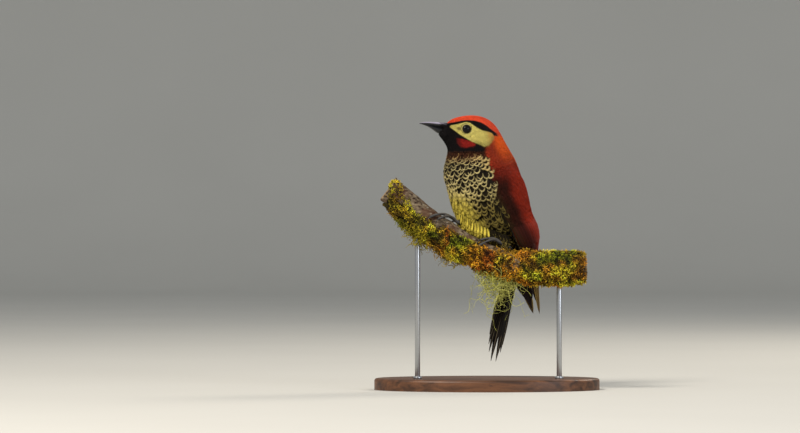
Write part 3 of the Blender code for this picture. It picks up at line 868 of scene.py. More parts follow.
def growCoat():
    roots = scatter(outer, coatSpacing, coatWanted)
    plan = toBird(roots)
    along = alongSpine(plan)
    wing = wingCloseness(roots)
    region = coatRegions(plan)
    length = np.interp(along, coatPlan["from"], coatPlan["length"])
    width = np.interp(along, coatPlan["from"], coatPlan["width"])
    length = shared("Length", length, plan, wing)
    width = shared("Width", width, plan, wing)
    lies = spineLie(plan)
    # feathers turn outwards round the eye
    eyes = np.stack([eyePlace(1)[0], eyePlace(-1)[0]])
    fromEye = unit(roots - eyes[np.where(plan[:, 1] > 0, 0, 1)])
    near = smoothStep(9, 5, eyeDistance(plan)) * (plan[:, 2] > 90)
    lies = unit(lies + 0.9 * near[:, None] * fromEye)
    # and the breast's last ones lie over the wing's front edge
    last = smoothStep(4.5, 1.0, plan[:, 0] - markAt("redEdge", plan[:, 2])) * frontShare(plan)
    last = last * smoothStep(80, 72, plan[:, 2]) * smoothStep(8, 20, plan[:, 2])
    lies = unit(lies + 0.6 * last[:, None] * birdDirection(-1.0, 0.0, 0.0, 45.0))
    lies = unit(lies + chance.normal(0, coatPlan["unruly"], lies.shape) * (1 - 0.6 * wing[:, None]))
    length = length * chance.normal(1, 0.1, len(roots)) * (1 - 0.5 * near)
    length = length * (1 - coatPlan["bibShorter"] * bibShare(plan))
    size = {"length": length, "width": width, "depth": coatDepth(roots)}
    for name, (form, pattern, barbs) in coatPieces.items():
        mine = region == name
        number = int(mine.sum())
        form = coatForms[form]
        material = plumageMaterial(name.replace("_", " ") + " feathers", pattern, barbs)
        chosen = {key: value[mine] for key, value in size.items()}
        points, vane = growFeathers(outer, roots[mine], lies[mine], chosen, form)
        spots = toBird(points)
        if pattern == "rimmed":
            # the ends that lie on the wing keep the breast's colours
            edge = markAt("redEdge", spots[:, 2]) + 1.7
            spots[:, 0] = np.maximum(spots[:, 0], np.where(spots[:, 2] < 80, edge, -99))
        places = np.repeat(fitted(unwrapped(plan[mine])), form["strips"], axis=0)
        slot = "breast_plumage" if pattern else "crimson_plumage"
        paint = feathersPaint(spots, number, 0.07)
        featherPiece("coat_" + name, form["vane"], points, places, paint, material, slot, vane=vane)
        print("coat", name, number, "feathers")


print("coat")
growCoat()

# Wings: long vanes over a thin web.
wingPlan = {
    "reach": 0.09,  # metres out from the wing's line, where the search for its surface starts
    "voxel": 0.7,
    "webFrom": 0.42,  # share of the wing's length where the web comes out of the coverts
    "webDepth": 0.6,  # millimetres that the web lies under the vanes
    "webColours": ("1E0E0A", "8F7F5E"),  # and the buff of its front edge
    "patch": (0.2, 0.22),  # share of the map that one vane takes, across and along
    # share of the length at root and tip of the first and last vane, place across (0 upper edge) at
    # root and tip of the same two, how many, width, lift above the surface, in millimetres; paint is
    # ground, rim, how far the rim shows, how far the plumage's own colour does, and where that ends
    "primaries": {
        "root": (0.5, 0.5), "tip": (0.985, 0.80), "from": (0.9, 0.34), "to": (0.5, 0.2),
        "count": 7, "width": 9.0, "lift": 0.0, "paint": ("5E4C2C", "B89E5C", 0.9, 0.9, (0.68, 0.8)),
        "slot": "flight_feathers", "replaces": ("primaries_",),
    },
    "secondaries": {
        "root": (0.3, 0.32), "tip": (0.68, 0.84), "from": (0.95, 0.1), "to": (0.88, 0.25),
        "count": 13, "width": 8.0, "lift": 0.1, "paint": ("3A0D06", "641C10", 0.4, 0.85),
        "slot": "crimson_plumage", "replaces": (),
    },
}


def wingLine(surface, side, share, around):
    # a place on the wing's outer face, found from its line outwards, or nothing
    start, end = (fromBird(ahead, 0.0, up) for ahead, up in coatPlan["wingLine"])
    run = unit(end - start)
    left = birdDirection(0.0, 1.0, 0.0, 0.0)
    back = np.cross(left, run)
    if back @ birdDirection(1.0, 0.0, 0.0, 0.0) > 0:
        back = -back
    angle = math.radians(around)
    out = back * math.cos(angle) + left * side * math.sin(angle)
    middle = start + (end - start) * share
    hit = surface["tree"].ray_cast(Vector(middle + out * wingPlan["reach"]), Vector(-out), wingPlan["reach"])
    return np.array(hit[0]) if hit[0] else None


def wingEdges(surface, side):
    # the angles of the wing's upper and lower edge along its length
    shares = np.linspace(0.04, 0.97, 24)
    edges = []
    for share in shares:
        seen = [a for a in range(-30, 150, 3) if wingLine(surface, side, share, a) is not None]
        edges.append((seen[0] + 2, seen[-1] - 2))
    return shares, np.array(edges, float)


def wingVanes(surface, side, plan, shape):
    shares, edges = wingEdges(surface, side)
    paths = []
    for k in np.linspace(0, 1, plan["count"]):
        ends = [np.interp(k, (0, 1), plan[key]) for key in ("root", "tip", "from", "to")]
        line = []
        for t in shape["stations"]:
            share = ends[0] + (ends[1] - ends[0]) * t
            across = ends[2] + (ends[3] - ends[2]) * t
            upper, lower = (np.interp(share, shares, edges[:, e]) for e in (0, 1))
            spot = wingLine(surface, side, share, upper + (lower - upper) * across)
            line.append(spot if spot is not None else line[-1] + (line[-1] - line[-2]))
        paths.append(line)
    middles = np.array(paths)
    normals = nearestOn(surface, middles.reshape(-1, 3))[1].reshape(middles.shape)
    stack = np.linspace(0, 0.5, plan["count"])[:, None, None] + plan["lift"]
    # roots lie under the coverts
    rise = (-2.2 * smoothStep(0.3, 0.0, shape["stations"]))[None, :, None]
    middles = middles + normals * (stack + rise) / 1000
    aheads = unit(np.gradient(middles, axis=1))
    return vanePoints(shape, middles, normals, aheads, np.full(plan["count"], plan["width"]))


def vanePaint(points, ground, edge, shown, blended=0.0, fades=None):
    # plain colours for long vanes, mixed with the plumage's own at their place; fades gives the
    # shares of the wing's length between which that mixing ends
    count, size = points.shape[:2]
    each = np.repeat(chance.normal(1, 0.06, count), size)[:, None]
    base = tone(ground) * each
    rim = tone(edge) * each
    if blended:
        plan = toBird(points)
        own = plumageAt(plan)[0] * each
        mixed = blended * (1 - smoothStep(*fades, wingShare(plan)) if fades else 1)
        mixed = np.broadcast_to(mixed, len(plan))[:, None]
        base = base + (own - base) * mixed
        if fades:
            rim = rim + (own - rim) * mixed
    return {"plumage": withAlpha(base), "marking": withAlpha(rim, shown)}


def flightMaterial(name, shaft, barbs):
    # flight feather: smooth close-set barbs, nearly matt, a raised shaft and a paler rim
    material, tree = newMaterial(name, Roughness=0.7, Specular_IOR_Level=0.08)
    colour = addNode(tree, "Attribute", attribute_name="plumage")
    marking = addNode(tree, "Attribute", attribute_name="marking")
    shown = addNode(tree, "Attribute", out="Alpha", attribute_name="marking")
    away, along = vaneCoordinates(tree)
    rim = addNode(tree, "MapRange", {0: away, 1: 0.34, 2: 0.46})
    rim = addNode(tree, "Math", {0: rim, 1: shown}, operation="MULTIPLY")
    colour = addNode(tree, "Mix", {0: rim, 6: colour, 7: marking}, 2, data_type="RGBA")
    quill = addNode(tree, "MapRange", {0: away, 1: 0.05, 2: 0.02})
    colour = addNode(tree, "Mix", {0: quill, 6: colour, 7: shaft}, 2, data_type="RGBA")
    streaks = barbStreaks(tree, away, along, 0.35, barbs)
    height = addNode(tree, "Math", {0: quill, 1: streaks}, operation="ADD")
    return finished(material, toned(tree, colour, streaks, 0.8, 1.15), height, 0.3, 0.3)


def webMaterial():
    # the feathers' undersides in the folded wing: dark, streaked, with buff along the front edge
    material, tree = newMaterial("wing underside", Roughness=0.6, Specular_IOR_Level=0.25)
    under = addNode(tree, "Attribute", attribute_name="plumage")
    barbs = objectPlaces(tree, (1500.0, 1500.0, 90.0))  # 0.7 mm apart, along the wing
    streaks = addNode(tree, "TexNoise", {"Vector": barbs, "Scale": 1.0})
    return finished(material, toned(tree, under, streaks, 0.75, 1.15), streaks, 0.3, 0.3)


def makeWing(word, materials):
    whole = remeshed(mergedCopy("wing_" + word, "primaries_" + word), wingPlan["voxel"], 5)
    surface = surfaceOf(whole)
    long = vaneShape(np.linspace(0.03, 0.97, 13), 4, roundTip, 0.35, 0.12)
    for row in ("primaries", "secondaries"):
        plan = wingPlan[row]
        points = wingVanes(surface, sideSigns[word], plan, long)
        featherPiece(
            f"{row}_vanes_{word}", long, points, gridPlaces(plan["count"], 4),
            vanePaint(points, *plan["paint"]), materials[row], plan["slot"],
            [node + word for node in plan["replaces"]], wingPlan["patch"],
        )
    covered = wingShare(toBird(sunk(whole, surface, wingPlan["webDepth"]))) < wingPlan["webFrom"]
    bmesh.ops.delete(whole, geom=[v for v, gone in zip(whole.verts, covered) if gone], context="VERTS")
    plan = toBird(spotsOf(whole))
    share = wingShare(plan)[:, None]
    dark, buff = (tone(code) for code in wingPlan["webColours"])
    start, end = np.array(coatPlan["wingLine"])
    run = unit(end - start)
    forward = ((plan[:, 0] - start[0]) * run[1] - (plan[:, 2] - start[1]) * run[0])[:, None]
    colour = dark + (buff - dark) * smoothStep(-1.0, -6.0, forward) * smoothStep(0.5, 0.6, share)
    pieceOf(
        "web_" + word, whole, materials["web"], "flight_feathers", ("primaries_" + word,),
        plumage=withAlpha(colour),
    )


print("wings")
wingMaterials = {
    "primaries": flightMaterial("primary feathers", "574636", 90.0),
    "secondaries": flightMaterial("secondary feathers", "3A1210", 90.0),
    "web": webMaterial(),
}
for wingWord in sideSigns:
    makeWing(wingWord, wingMaterials)

tailPlan = {
    "line": ((-9.8, -35.0), (-4.6, -54.0), (1.6, -75.0), (7.0, -95.0), (12.4, -115.6)),  # ahead, up
    # from the middle out: length as a share of the line, tip's place to the side, and depth
    "feathers": ((1, 4.8, 0), (0.9, 11, 1), (0.81, 13.8, 2), (0.7, 15, 3), (0.56, 14.8, 4)),
    "widths": (11.0, 9.6, 8.8, 8.8, 8.8),
    "rootSide": 4.5,
    "paint": ("100C0B", "40382C", 0.4),  # ground, rim, how far the rim shows
    "patch": (0.16, 0.8),
}


def stiffTip(t):
    # worn to a point
    return np.minimum(0.5 + 3 * t, 1) * (1 - 0.12 * t - 0.84 * ((t - 0.66).clip(0) / 0.34) ** 1.5)


def makeTail():
    shape = vaneShape(np.linspace(0.02, 0.985, 15), 4, stiffTip, 0.4, 0.1)
    stations = shape["stations"]
    line = np.array(tailPlan["line"])
    knots = np.linspace(0, 1, len(line))
    material = flightMaterial("tail feathers", "6A5F4A", 80.0)
    for word, side in sideSigns.items():
        middles = []
        for length, tipSide, depth in tailPlan["feathers"]:
            at = stations * length
            ahead, up = (np.interp(at, knots, line[:, k]) for k in (0, 1))
            under = depth * (1 - 0.25 * stations)
            out = tailPlan["rootSide"] + (tipSide - tailPlan["rootSide"]) * stations ** 0.8
            middles.append(fromBird(ahead + under * 0.97, side * out, up + under * 0.24))
        middles = np.array(middles)
        aheads = unit(np.gradient(middles, axis=1))
        back = birdDirection(-0.97, 0.0, -0.24, 0.0)
        normals = np.broadcast_to(back, middles.shape)
        normals = unit(normals - (normals * aheads).sum(axis=2, keepdims=True) * aheads)
        count = len(middles)
        points = vanePoints(shape, middles, normals, aheads, np.array(tailPlan["widths"]))
        featherPiece(
            "tail_vanes_" + word, shape, points, gridPlaces(count, 5),
            vanePaint(points, *tailPlan["paint"]), material, "tail_feathers",
            [f"tail_feather_{word}_{i}" for i in range(1, count + 1)], tailPlan["patch"],
        )


print("tail")
makeTail()


def subdivided(bm, levels):
    # the CAD shape with its triangles paired again, and rounded by subdivision
    bmesh.ops.join_triangles(
        bm, faces=bm.faces, angle_face_threshold=0.9, angle_shape_threshold=3.1, cmp_seam=False,
        cmp_sharp=False, cmp_uvs=False, cmp_vcols=False, cmp_materials=False,
    )
    return modified(bm, "SUBSURF", levels=levels, render_levels=levels)


def billMaterial():
    # keratin sheath: black and satin, with a painted pale bluish sky reflection along the top of the ridge
    material, tree = newMaterial(
        "bill horn", Roughness=0.34, Specular_IOR_Level=0.4, Coat_Weight=0.1, Coat_Roughness=0.2
    )
    fibres = objectPlaces(tree, (60.0, 900.0, 900.0))  # 1 mm wide, along the bill
    streaks = addNode(tree, "TexNoise", {"Vector": fibres, "Scale": 1.0, "Detail": 1.0})
    share = addNode(tree, "MapRange", {0: streaks, 1: 0.3, 2: 0.7, 3: 0.55, 4: 0.95})
    # painted reflection: the ridge attribute says where the pale bluish sky reflection is laid over the
    # black
    ridge = addNode(tree, "Attribute", out="Fac", attribute_name="ridge")
    pale = addNode(tree, "Math", {0: ridge, 1: share}, operation="MULTIPLY")
    horn = addNode(tree, "Mix", {0: pale, 6: "0B0B0E", 7: "A8A2B4"}, 2, data_type="RGBA")
    return finished(material, horn, streaks, 0.15, 0.2)


billPlan = {
    "gap": 0.03,  # millimetres from each mandible to the line between them
    "drawnIn": 2.2,
    "baseFrom": (70, 65),  # ahead, where drawing in begins and is full
}


def makeBill():
    # the mandibles are closed to a fine line, and their base is drawn in under the face's feathers
    material = billMaterial()
    halves = {word: subdivided(mergedCopy("bill_" + word), 2) for word in ("upper", "lower")}
    trees = {word: BVHTree.FromBMesh(bm) for word, bm in halves.items()}
    forward = Vector(birdDirection(1.0, 0.0, 0.0, 105.0))
    for word, other, way in (("upper", "lower", -1), ("lower", "upper", 1)):
        bm = halves[word]
        bm.normal_update()
        plan = toBird(spotsOf(bm))
        facing = np.array([v.normal.z for v in bm.verts])
        for vertex, inward in zip(bm.verts, smoothStep(*billPlan["baseFrom"], plan[:, 0])):
            hit = trees[other].ray_cast(vertex.co, Vector((0, 0, way)), 0.0016)
            if hit[0] and vertex.normal.z * way > -0.3:
                vertex.co.z += way * max(hit[3] / 2 - billPlan["gap"] / 1000, 0)
            vertex.co -= forward * float(inward) * billPlan["drawnIn"] / 1000
        # painted reflection of the sky: pale where the upper mandible's top faces up, clear of its base
        ridge = smoothStep(-0.1, 0.7, facing) * smoothStep(62, 68, plan[:, 0]) * (word == "upper")
        pieceOf(f"bill_{word}_horn", bm, material, "bill_horn", ("bill_" + word,), ridge=ridge)


bristlePlan = {
    "spacing": 0.5,
    "ahead": (60.5, 65.0),
    "above": 98.5,
    "length": (1.6, 3.4),
    "width": 0.42,
    "depth": 0.3,
    "colour": "151112",
    "form": {"vane": silkyVane, "strips": 1, "point": 0, "stand": 0.16},
}


def makeBristles():
    # stiff black feathers that reach from the face over the bill's base
    face = remeshed(mergedCopy("head", "bill_upper", "bill_lower"), 0.5, 4)
    surface = surfaceOf(face)
    face.free()

    def atBase(points):
        plan = toBird(points)
        first, last = bristlePlan["ahead"]
        return (plan[:, 0] > first) & (plan[:, 0] < last) & (plan[:, 2] > bristlePlan["above"])

    roots = scatter(surface, bristlePlan["spacing"], atBase)
    count = len(roots)
    lies = np.tile(birdDirection(1.0, 0.0, -0.1, 105.0), (count, 1))
    lies = unit(lies + chance.normal(0, 0.12, lies.shape))
    size = {
        "length": chance.uniform(*bristlePlan["length"], count),
        "width": np.full(count, bristlePlan["width"]),
        "depth": np.full(count, bristlePlan["depth"]),
    }
    form = bristlePlan["form"]
    points, vane = growFeathers(surface, roots, lies, size, form)
    material = plumageMaterial("bristle feathers", None, 20.0)
    places = fitted(unwrapped(toBird(roots)))
    black = vanePaint(points, bristlePlan["colour"], bristlePlan["colour"], 0.0)
    featherPiece("bristles", form["vane"], points, places, black, material, "crimson_plumage", vane=vane)
    print("bristles", count)


eyeRings = ((0.42, "050506"), (0.5, "140B0A"), (0.78, "0E0808"), (0.9, "0B0808"))  # pupil, then iris


def makeEyes():
    # a wet dark eye: nearly black iris round the pupil, under a clear glossy cornea
    material, tree = newMaterial(
        "eye", Roughness=0.05, IOR=1.38, Specular_IOR_Level=0.15, Coat_Weight=0.15, Coat_Roughness=0.02
    )
    iris = addNode(tree, "Attribute", out="Fac", attribute_name="iris")
    rings = addNode(tree, "ValToRGB", {0: iris})
    points = rings.node.color_ramp.elements
    for k, (place, code) in enumerate(eyeRings):
        point = points[k] if k < len(points) else points.new(place)
        point.position = place
        point.color = linear(code)
    finished(material, rings)
    for word, side in sideSigns.items():
        centre, gaze = eyePlace(side)
        bm = bmesh.new()
        bmesh.ops.create_uvsphere(bm, u_segments=48, v_segments=32, radius=bird["eyeRadius"] / 1000)
        bmesh.ops.rotate(bm, verts=bm.verts, matrix=gaze.to_track_quat("Z", "Y").to_matrix())
        bmesh.ops.translate(bm, verts=bm.verts, vec=centre)
        away = np.array([(v.co - centre).angle(gaze) for v in bm.verts]) / math.radians(75)
        pieceOf("eyeball_" + word, bm, material, "eye", ("eye_" + word,), iris=away.clip(0, 1))


# The perch's middle line, and places on the bark as millimetres along X and degrees from its top.
perchLine = {
    "line": ((-94.0, 190.0), (-76.0, 175.5), (-57.0, 160.5), (-38.0, 147.0), (-19.0, 135.0), (0.0, 126.0),
             (18.0, 119.5), (38.0, 116.5), (66.0, 115.5), (94.0, 116.0)),  # along X and up
    "end": 94.0,
    "side": -17.8,
    "radius": 13.0,
}
mossNodes = ("moss_under", "moss_side", "moss_middle", "moss_end")


def perchAt(x):
    line = np.array(perchLine["line"])
    knots = np.linspace(-perchLine["end"], perchLine["end"], 95)
    heights = np.interp(knots, line[:, 0], line[:, 1])
    heights = np.convolve(np.pad(heights, 4, mode="reflect", reflect_type="odd"), np.ones(9) / 9, "valid")
    slope = np.interp(x, knots, np.gradient(heights, knots))
    middle = np.stack([x, np.full(x.shape, perchLine["side"]), np.interp(x, knots, heights)], axis=-1)
    top = unit(np.stack([-slope, np.zeros(x.shape), np.ones(x.shape)], axis=-1))
    return middle, top


def onPerch(x, around, lift):
    middle, top = perchAt(np.asarray(x, float))
    angle = np.radians(np.asarray(around, float))[..., None]
    out = top * np.cos(angle) + np.array((0.0, -1.0, 0.0)) * np.sin(angle)
    return (middle + out * (perchLine["radius"] + np.asarray(lift, float)[..., None])) / 1000


def perchPlaces(points):
    # millimetres along X of the nearest middle, and degrees round it, of places near the perch
    stations = np.linspace(-perchLine["end"], perchLine["end"], 189)
    middles, tops = perchAt(stations)
    spots = points * 1000
    near = np.argmin(np.linalg.norm(spots[:, None] - middles, axis=2), axis=1)
    out = spots - middles[near]
    return stations[near], np.degrees(np.arctan2(-out[:, 1], (out * tops[near]).sum(axis=1)))


footPlan = {
    # where the foot, each toe's end and its claw's tip rest on the perch, and how high the toe arches
    "left": {
        "foot": (12.5, -2.0),
        "inner": ((-12.5, 38.0), (-13.5, 70.0), 3.6),
        "outer": ((-11.0, 64.0), (-9.5, 90.0), 2.6),
        "back": ((22.5, -38.0), (25.0, -62.0), 0.6),
        "side": ((12.0, -50.0), (11.0, -76.0), 0.6),
        "knee": (14.0, 20.0, 17.0),  # ahead, left, up
    },
    "right": {
        "foot": (-36.0, 0.0),
        "inner": ((-57.0, 74.0), (-55.5, 98.0), 0.8),
        "outer": ((-51.0, 62.0), (-49.0, 88.0), 1.4),
        "back": ((-33.0, -42.0), (-33.0, -68.0), 0.6),
        "side": ((-41.0, -42.0), (-44.0, -66.0), 0.6),
        "knee": (34.0, -6.0, 26.0),
    },
    "toeRadius": 1.38,
    "shankRadius": 1.7,
    "clawRadius": 1.2,
    "plate": 1.1,  # millimetres from one plate to the next
    "plateHigh": 0.1,
}
toeNames = ("inner", "outer", "back", "side")


def addTube(bm, line, radii, ups, narrow=1.0, around=14):
    # a round body along a line, closed at both ends
    runs = unit(np.gradient(line, axis=0))
    sides = unit(np.cross(runs, ups))
    tops = np.cross(sides, runs)
    rings = []
    for spot, radius, side, top in zip(line, np.asarray(radii) / 1000, sides, tops):
        angles = [2 * math.pi * k / around for k in range(around)]
        rings.append([
            bm.verts.new(spot + radius * (side * narrow * math.cos(a) + top * math.sin(a))) for a in angles
        ])
    for near, far in zip(rings, rings[1:]):
        for k in range(around):
            bm.faces.new((near[k - 1], near[k], far[k], far[k - 1]))
    bm.faces.new(rings[0])
    bm.faces.new(rings[-1])


def toeLine(foot, end, arch):
    s = np.linspace(0.0, 1.0, 30)
    x = foot[0] + (end[0] - foot[0]) * s
    around = foot[1] + (end[1] - foot[1]) * s ** 2.6
    lift = 2.4 - 1.0 * s + arch * np.sin(math.pi * s) ** 1.2
    return onPerch(x, around, lift), perchAt(x)[1]


def clawLine(toe, tip):
    # from inside the toe's end, over and down to its point on the bark
    ahead = unit(toe[-1] - toe[-4])
    base = toe[-1] - ahead * 0.0012
    point = onPerch(*tip, 0.1)
    out = unit(onPerch(*tip, 5.0) - point)
    knee = base + ahead * 0.0040 + out * 0.0020
    t = np.linspace(0, 1, 18)[:, None]
    return base * (1 - t) ** 2 + knee * 2 * t * (1 - t) + point * t ** 2, np.tile(out, (len(t), 1))


def footMaterial():
    # scaly skin: dark grey and dry, with a painted highlight on the plates' upward-facing tops, black in
    # their seams
    material, tree = newMaterial("foot scales", Roughness=0.4, Specular_IOR_Level=0.5)
    places = objectPlaces(tree)
    grit = addNode(tree, "TexNoise", {"Vector": places, "Scale": 1400.0, "Detail": 3.0})  # 0.7 mm
    colour = addNode(tree, "Mix", {0: grit, 6: "171514", 7: "302D2A"}, 2, data_type="RGBA")
    seam = addNode(tree, "Attribute", out="Fac", attribute_name="seam")
    upper = addNode(tree, "Attribute", out="Fac", attribute_name="upper")
    # painted highlight: the tops that face up from the perch are made paler, as if lit
    paintedHighlight = addNode(tree, "MapRange", {0: upper, 1: 0.6, 2: 1.5, 4: 1.0})
    for share, code in ((paintedHighlight, "6C665F"), (seam, "141210")):
        colour = addNode(tree, "Mix", {0: share, 6: colour, 7: code}, 2, data_type="RGBA")
    return finished(material, colour, grit, 0.25, 0.2)


def clawMaterial():
    # claw keratin: nearly black, polished
    material, tree = newMaterial("claw horn", Roughness=0.28, Specular_IOR_Level=0.5)
    mottle = addNode(tree, "TexNoise", {"Vector": objectPlaces(tree), "Scale": 500.0})  # 2 mm
    horn = addNode(tree, "Mix", {0: mottle, 6: "121110", 7: "3A3733"}, 2, data_type="RGBA")
    return finished(material, horn)


def makeFoot(word, scales, horn):
    plan = footPlan[word]
    bm = bmesh.new()
    spots, ways, runs = [], [], []
    for toe in toeNames:
        end, tip, arch = plan[toe]
        line, ups = toeLine(plan["foot"], end, arch)
        s = np.linspace(0, 1, len(line))
        joints = 1 + 0.1 * np.cos(s * 2 * math.pi * (3 if toe == "outer" else 2))
        addTube(bm, line, footPlan["toeRadius"] * (1.12 - 0.3 * s) * joints, ups)
        spots.append(line)
        ways.append(ups)
        runs.append(np.concatenate([[0], np.linalg.norm(np.diff(line, axis=0), axis=1).cumsum()]))
        claw = bmesh.new()
        hook, outs = clawLine(line, tip)
        t = np.linspace(0, 1, len(hook))
        addTube(claw, hook, footPlan["clawRadius"] * (1 - 0.92 * t ** 1.3), outs, 0.62)
        bmesh.ops.recalc_face_normals(claw, faces=claw.faces)
        pieceOf(f"claw_{toe}_{word}_horn", claw, horn, "claw_horn", (f"claw_{toe}_{word}",))
    ankle = onPerch(*plan["foot"], 2.6)
    knee = fromBird(*plan["knee"])
    t = np.linspace(0, 0.42, 20)[:, None]  # the rest of the shank is in the thigh's feathers
    shank = ankle + (knee - ankle) * t
    front = np.tile(birdDirection(1.0, 0.0, 0.0, 0.0), (len(t), 1))
    addTube(bm, shank, footPlan["shankRadius"] * (1.25 - 0.35 * np.sin(math.pi * t[:, 0])), front)
    spots.append(shank)
    ways.append(front)
    runs.append(np.linalg.norm(shank - ankle, axis=1))
    bmesh.ops.recalc_face_normals(bm, faces=bm.faces)
    bm = remeshed(bm, 0.3, 3)
    bm.normal_update()
    # plates lie across the top of the toes and the front of the shank
    spots, ways, runs = (np.concatenate(part) for part in (spots, ways, runs))
    places = spotsOf(bm)
    normals = np.array([v.normal for v in bm.verts])
    near = np.argmin(np.linalg.norm(places[:, None] - spots, axis=2), axis=1)
    # how far each point faces up from the perch: it raises the plates and sets where the material paints its
    # highlight
    upper = smoothStep(0.1, 0.6, (normals * ways[near]).sum(axis=1))
    step = unit(np.gradient(spots, axis=0))[near]
    along = runs[near] * 1000 + ((places - spots[near]) * step).sum(axis=1) * 1000
    plate = along / footPlan["plate"] % 1.0
    seam = (1 - smoothStep(0.0, 0.25, plate)) * upper
    raised(bm, (np.sin(math.pi * plate) * upper - seam) * footPlan["plateHigh"])
    nodes = [f"toe_{toe}_{word}" for toe in toeNames] + ["shank_" + word]
    pieceOf("foot_" + word, bm, scales, "foot_scutes", nodes, seam=seam, upper=upper)


thighPlan = {
    "spacing": 1.35,
    "length": (3.5, 10.0),
    "width": 3.5,
    "depth": 0.8,
    "gap": 15,  # they grow where the perch is no further below than this
    "nearLeg": 0.008,  # metres from a leg's middle line
    "front": (56.0, 12.0),  # places ahead and up whose colours they take
    "rear": (22.0, 12.0),
}


def makeThighs():
    # soft feathers that hang from the belly over the shanks, down to the perch
    bm = mergedCopy("trunk")
    front = np.tile(birdDirection(1.0, 0.0, 0.0, 0.0), (12, 1))
    legs = []
    for word in sideSigns:
        ankle, knee = onPerch(*footPlan[word]["foot"], 2.6), fromBird(*footPlan[word]["knee"])
        t = np.linspace(0.15, 1.1, 12)[:, None]
        line = ankle + (knee - ankle) * t
        addTube(bm, line, 2.6 + 4.0 * t[:, 0], front)
        legs.append(line)
    legs = np.concatenate(legs)
    bmesh.ops.recalc_face_normals(bm, faces=bm.faces)
    body = remeshed(bm, 1.0, 5)
    surface = surfaceOf(body)
    body.free()
    below = BVHTree.FromBMesh(mergedCopy("perch", *mossNodes))
    fall = unit(birdDirection(-0.15, 0.0, -1.0, 0.0) + np.array((0.0, 0.0, -0.6)))

    def room(points):
        # millimetres down to the perch
        hits = [below.ray_cast(Vector(p), Vector(fall), 0.03)[3] for p in points.tolist()]
        return np.array([30.0 if h is None else h * 1000 for h in hits])

    def hanging(points):
        near = np.linalg.norm(points[:, None] - legs, axis=2).min(axis=1) < thighPlan["nearLeg"]
        facing = nearestOn(surface, points)[1][:, 2]
        return (room(points) < thighPlan["gap"]) & (near | (facing < -0.1)) & (facing < 0.5)

    roots = scatter(surface, thighPlan["spacing"], hanging)
    number = len(roots)
    facing = nearestOn(surface, roots)[1]
    lies = unit(fall + 0.12 * facing + chance.normal(0, 0.1, (number, 3)))
    size = {
        "length": (room(roots) + 2.0).clip(*thighPlan["length"]) * chance.uniform(0.85, 1.1, number),
        "width": np.full(number, thighPlan["width"]),
        "depth": np.full(number, thighPlan["depth"]),
    }
    form = dict(coatForms["loose"], free=True)
    points, vane = growFeathers(surface, roots, lies, size, form)
    # plain in front, barred behind
    forward = roots[:, 0] + chance.normal(0, 0.003, number) < 0
    plan = toBird(roots)
    places = np.repeat(fitted(unwrapped(plan)), form["strips"], axis=0)
    plan[:, ::2] = np.where(forward[:, None], thighPlan["front"], thighPlan["rear"])
    paint = feathersPaint(np.repeat(plan, points.size // 3 // number, axis=0), number, 0.08)
    material = plumageMaterial("thigh feathers", "rimmed", 30.0)
    featherPiece("thighs", form["vane"], points, places, paint, material, "breast_plumage", vane=vane)
    print("thighs", number, "feathers")


print("bill, eyes and feet")
makeBill()
makeBristles()
makeEyes()
footFinishes = (footMaterial(), clawMaterial())
for footWord in sideSigns:
    makeFoot(footWord, *footFinishes)
makeThighs()

# Perch: bark, moss and lichen.
perchPlan = {
    "voxel": 1.0,
    "bark": 1.0,  # millimetres between crest and crack
    "mossVoxel": 0.9,
    "mossLump": 1.9,
    "mossSpacing": 1.2,
    "mossLeaves": 5,
    "mossLength": (1.3, 2.8),
    "mossWidth": 0.8,
    "mossFrom": (-94, -88, -83, -70, -50, -38, -25, -12, 0, 10, 16, 94),  # its upper edge's x
    "mossEdge": (8, 20, 66, 86, 82, 74, 62, 50, 42, 24, -28, -28),  # and degrees
    "mossEnd": 234,
    "mossClear": 1.5,  # millimetres of bare bark at the sawn ends
    "mossGround": "8A6818",
    # hues that drift over it: colour, seed of the drift, and where in it they begin and are full
    "mossHues": (("C0841E", 12, 0.0, 0.5), ("C4B22C", 13, -0.05, 0.45), ("727C18", 14, 0.15, 0.6),
                 ("9A5216", 15, 0.1, 0.5)),
    "mossParts": {"left": (-0.1, -0.03), "middle": (-0.03, 0.032), "right": (0.032, 0.1)},  # metres along X
    "lichenColour": "B2B05A",
    "curl": 0.42,  # how sharply the hanging threads turn, and how soon they fall again
    "droop": 0.2,
    # x, strands and longest of each hanging tuft, in millimetres
    "lichens": ((-7, 20, 34), (2, 40, 54), (9, 60, 70), (16, 46, 68), (23, 16, 40), (-55, 12, 14)),
    "tufts": ((-80, 60, 13), (-72, 100, 18), (-64, 130, 28), (-44, 50, 20), (-37, 50, 24), (-24, 30, 12)),
}


